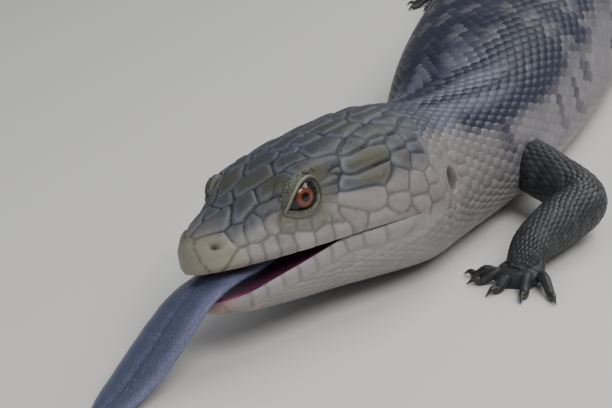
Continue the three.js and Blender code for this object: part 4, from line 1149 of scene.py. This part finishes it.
def scale_coat(name, surface, roots, lengths, half_widths, paints, unwrap, thick=1.0, shade=1.0, sunk=0.0):
    """Scales rooted at places along and round a surface, as one mesh. Widths are in its turn."""
    count = len(roots)
    v = scale_plan[:, 1]
    along = roots[:, 0, None] + lengths[:, None] * (v - 0.12)
    round_it = roots[:, 1, None] + half_widths[:, None] * scale_plan[:, 0]
    rise = (scale_height + 0.42 * (v - 0.45) - 0.1) * thick
    rise = rise - np.broadcast_to(sunk, count)[:, None]
    points = surface(along.ravel(), round_it.ravel(), rise.ravel()).reshape(-1, 3)
    step = (np.arange(count) * SCALE_POINTS)[:, None, None]
    groups = [(g[None] + step).reshape(-1, g.shape[1]) for g in (scale_sides, scale_crown, scale_base)]
    a, b = points[SCALE_SIDES] - points[SCALE_TOP], points[SCALE_SIDES + 3] - points[SCALE_TOP]
    first = roots[:1, 0], roots[:1, 1]
    out = (surface(*first, np.array([2.0])) - surface(*first, np.zeros(1)))[0]
    if np.dot(np.cross(a, b), out) < 0:
        groups = [g[:, ::-1] for g in groups]
    # Painted shade: each scale is darker on its rim and on its front part, which lies under the scale ahead.
    edge = shade * (scale_shade * smooth(v, 0.62, 1.0) + 0.15 * (v < 0.35))
    paint = paints[:, None] * (1 - edge[None, :, None]) + SCALE_RIM_SHADE * 0.5 * edge[None, :, None]
    patch = unwrap[:, None] + (np.stack([scale_plan[:, 0], v - 0.5], -1) * MAP_PATCH)[None]
    coat = Shell()
    coat.add(points, groups, paint.reshape(-1, 3), uv=patch.reshape(-1, 2))
    return coat.piece(name, scale_finish)


def scale_lattice(start, end, spacing, rows_round):
    """Root places in staggered rings, with each ring's scale length and half width."""
    places, s = [], start
    while s < end:
        places.append(s)
        s += float(spacing(s))
    roots, lengths, widths = [], [], []
    for i, s in enumerate(places):
        count = int(rows_round(s) / 4) * 4
        turns = (np.arange(count) + 0.5 * (i % 2)) * 2 * math.pi / count
        roots.append(np.stack([np.full(count, s), turns], -1))
        lengths.append(np.full(count, float(spacing(s)) * SCALE_REACH))
        widths.append(np.full(count, math.pi / count * SCALE_BREADTH))
    return np.concatenate(roots), np.concatenate(lengths), np.concatenate(widths)


def coat_map(turns, share, breadth=0.97):
    """Where on the map each scale's patch lies: across it by its turn, and along it by a share."""
    return np.stack([0.01 + turns / (2 * math.pi) * breadth, share], -1)


COAT_START, COAT_END = 57.5, 541
EAR_PLACE, EAR_ANGLE = 62, 77.8
BARE_LENGTH, BARE_ANGLE = 3.9, 13
body_spacing = sizes(
    (55, 1.9), (64, 2), (80, 2.3), (110, 2.8), (200, 3.5), (300, 3.2), (400, 2.8), (545, 1.7),
)
body_rows = sizes(
    (55, 53), (120, 53), (200, 53), (285, 53), (330, 41), (400, 33), (470, 25), (520, 17), (545, 9),
)
scale_finish = hide_finish("scales", 2200, 0.00008, 0.34)
roots, lengths, widths = scale_lattice(COAT_START, COAT_END, body_spacing, body_rows)
from_ear = (roots[:, 0] - EAR_PLACE) / BARE_LENGTH, (from_top(roots[:, 1]) - EAR_ANGLE) / BARE_ANGLE
clear = np.hypot(*from_ear) > 1
roots, lengths, widths = roots[clear], lengths[clear], widths[clear]
rings = roots[:, 0].copy()
roots[:, 0] += scale_draw.normal(0, 0.1, len(roots))
paints = body_paint(roots[:, 0], roots[:, 1], markings_and_fold_shade(roots[:, 0], roots[:, 1]))
paints = paints * scale_draw.normal(1, 0.07, len(roots))[:, None]
unwrap = coat_map(roots[:, 1], roots[:, 0] / TOTAL_LENGTH * 0.98)
for name, start, end in (("neck_scales", 50, 118), ("trunk_scales", 118, 215), ("hip_scales", 215, 330),
                         ("tail_scales", 330, COAT_END)):
    own = (rings >= start) & (rings < end)
    coat = scale_coat(name, body_surface, roots[own], lengths[own], widths[own], paints[own], unwrap[own],
                      sunk=0.36 * smooth(rings[own], 60, 68))


# The throat and the underside of the jaw have flatter and paler scales, which end below the shields
# of the lower lip.
def throat_surface(s, angle, lift):
    """Points under the jaw and throat, which part from the head in front of the mouth's corner."""
    side, height, drop = jaw_section(s, angle, lift)
    return on_spine(np.stack([HEAD_LENGTH - s, side, height - drop], -1))


throat_spacing = sizes((6, 2.2), (30, 2.6), (58, 2.6))
throat_rows = sizes((6, 40), (20, 50), (58, 56))
roots, lengths, widths = scale_lattice(7, COAT_START, throat_spacing, throat_rows)
hangs = np.sin(roots[:, 1]) < np.interp(roots[:, 0], [7, 46, 52], [-0.3, -0.24, -0.1])
roots, lengths, widths = roots[hangs], lengths[hangs], widths[hangs]
roots[:, 0] += scale_draw.normal(0, 0.15, len(roots))
paints = tint(THROAT, CHIN_PINK, 0.6 * smooth(-roots[:, 0], -10, -7))
paints = paints * scale_draw.normal(1, 0.04, len(roots))[:, None]
unwrap = coat_map(roots[:, 1], roots[:, 0] / TOTAL_LENGTH * 0.98)
coat = scale_coat("throat_scales", throat_surface, roots, lengths, widths, paints, unwrap, 0.7, 0.35)

# The scales of the limbs stand in even staggered rings, from near the root almost to the palm, and
# are a little thinner than those of the body.
LIMB_ROWS, LIMB_SPACING = 24, 1.7
for (arm_path, arm_radius), name in zip(
    limbs, ("fore_left_scales", "fore_right_scales", "hind_left_scales", "hind_right_scales")
):
    def limb_surface(t, angle, lift):
        return around(arm_path, arm_radius, np.clip(t, 0, 1), -angle, lift - 0.1)

    run = np.linalg.norm(np.diff(arm_path(np.linspace(0, 1, 50))[0], axis=0), axis=1).sum()
    spacing = LIMB_SPACING / run
    roots, lengths, widths = scale_lattice(0.12, 0.93, lambda s: spacing, lambda s: LIMB_ROWS)
    paints = limb_colour(scale_draw.random(len(roots)) ** 2 * 0.6)
    unwrap = coat_map(roots[:, 1], roots[:, 0] * 0.95, 0.9)
    coat = scale_coat(name, limb_surface, roots, lengths, widths, paints, unwrap, 0.8, sunk=0.2)

# The stage: a pale floor under a dim sky, three soft lights, and a camera that looks down a little on
# the left of the head, as the photo does.
bpy.ops.mesh.primitive_plane_add(size=12, location=(0, 0, 0))
floor = bpy.context.object
floor.name = "floor"
floor_finish = Finish("pale floor", Roughness=0.7)
floor_finish.shader.inputs["Base Color"].default_value = (0.72, 0.71, 0.69, 1)
floor.data.materials.append(floor_finish.material)
world = bpy.data.worlds.new("studio")
world.use_nodes = True
world.node_tree.nodes["Background"].inputs["Color"].default_value = (0.9, 0.93, 1, 1)
world.node_tree.nodes["Background"].inputs["Strength"].default_value = 0.22
bpy.context.scene.world = world

CAMERA_TARGET, CAMERA_DISTANCE = (36, 8, 10), 330
CAMERA_AZIMUTH, CAMERA_ELEVATION, CAMERA_ROLL = 0.676267, 0.177892, -0.207746


def head_way(ahead, left, up):
    return head_forward * ahead + head_left * left + head_up * up


sin_a, cos_a = math.sin(CAMERA_AZIMUTH), math.cos(CAMERA_AZIMUTH)
sin_e, cos_e = math.sin(CAMERA_ELEVATION), math.cos(CAMERA_ELEVATION)
toward = np.array([sin_a * cos_e, cos_a * cos_e, sin_e])
look = -toward
right = unit(np.cross(look, [0, 0, 1]))
above = np.cross(right, look)
sin_r, cos_r = math.sin(CAMERA_ROLL), math.cos(CAMERA_ROLL)
right, above = right * cos_r + above * sin_r, above * cos_r - right * sin_r
camera_place = in_head(np.array(CAMERA_TARGET) + toward * CAMERA_DISTANCE) / 1000
axes = [head_way(*right), head_way(*above), head_way(*toward)]
camera = bpy.data.objects.new("camera", bpy.data.cameras.new("camera"))
bpy.context.collection.objects.link(camera)
rows = [[*(float(axis[i]) for axis in axes), float(camera_place[i])] for i in range(3)]
camera.matrix_world = Matrix([*rows, [0, 0, 0, 1]])
camera.data.sensor_width = 36
camera.data.lens = 87.36
camera.data.shift_x, camera.data.shift_y = 0.0308, -0.0043
camera.data.clip_start, camera.data.clip_end = 0.01, 20
bpy.context.scene.camera = camera


def soft_light(name, place, target, size, watts, colour):
    """A square soft light, aimed from a place at a target, both in metres."""
    light = bpy.data.lights.new(name, "AREA")
    light.shape, light.size, light.energy, light.color = "SQUARE", size, watts, colour
    lamp = bpy.data.objects.new(name, light)
    bpy.context.collection.objects.link(lamp)
    lamp.location = place
    lamp.rotation_euler = (Vector(target) - Vector(place)).to_track_quat("-Z", "Y").to_euler()


head_spot = (0.16, -0.01, 0.02)
soft_light("key", (0.42, 0.42, 0.62), head_spot, 0.4, 4.4, (1, 0.97, 0.93))
soft_light("fill", (0.7, -0.35, 0.3), head_spot, 0.6, 1.2, (0.93, 0.96, 1))
soft_light("rim", (-0.35, 0.3, 0.6), (0, 0, 0.02), 0.5, 3.2, (1, 1, 1))
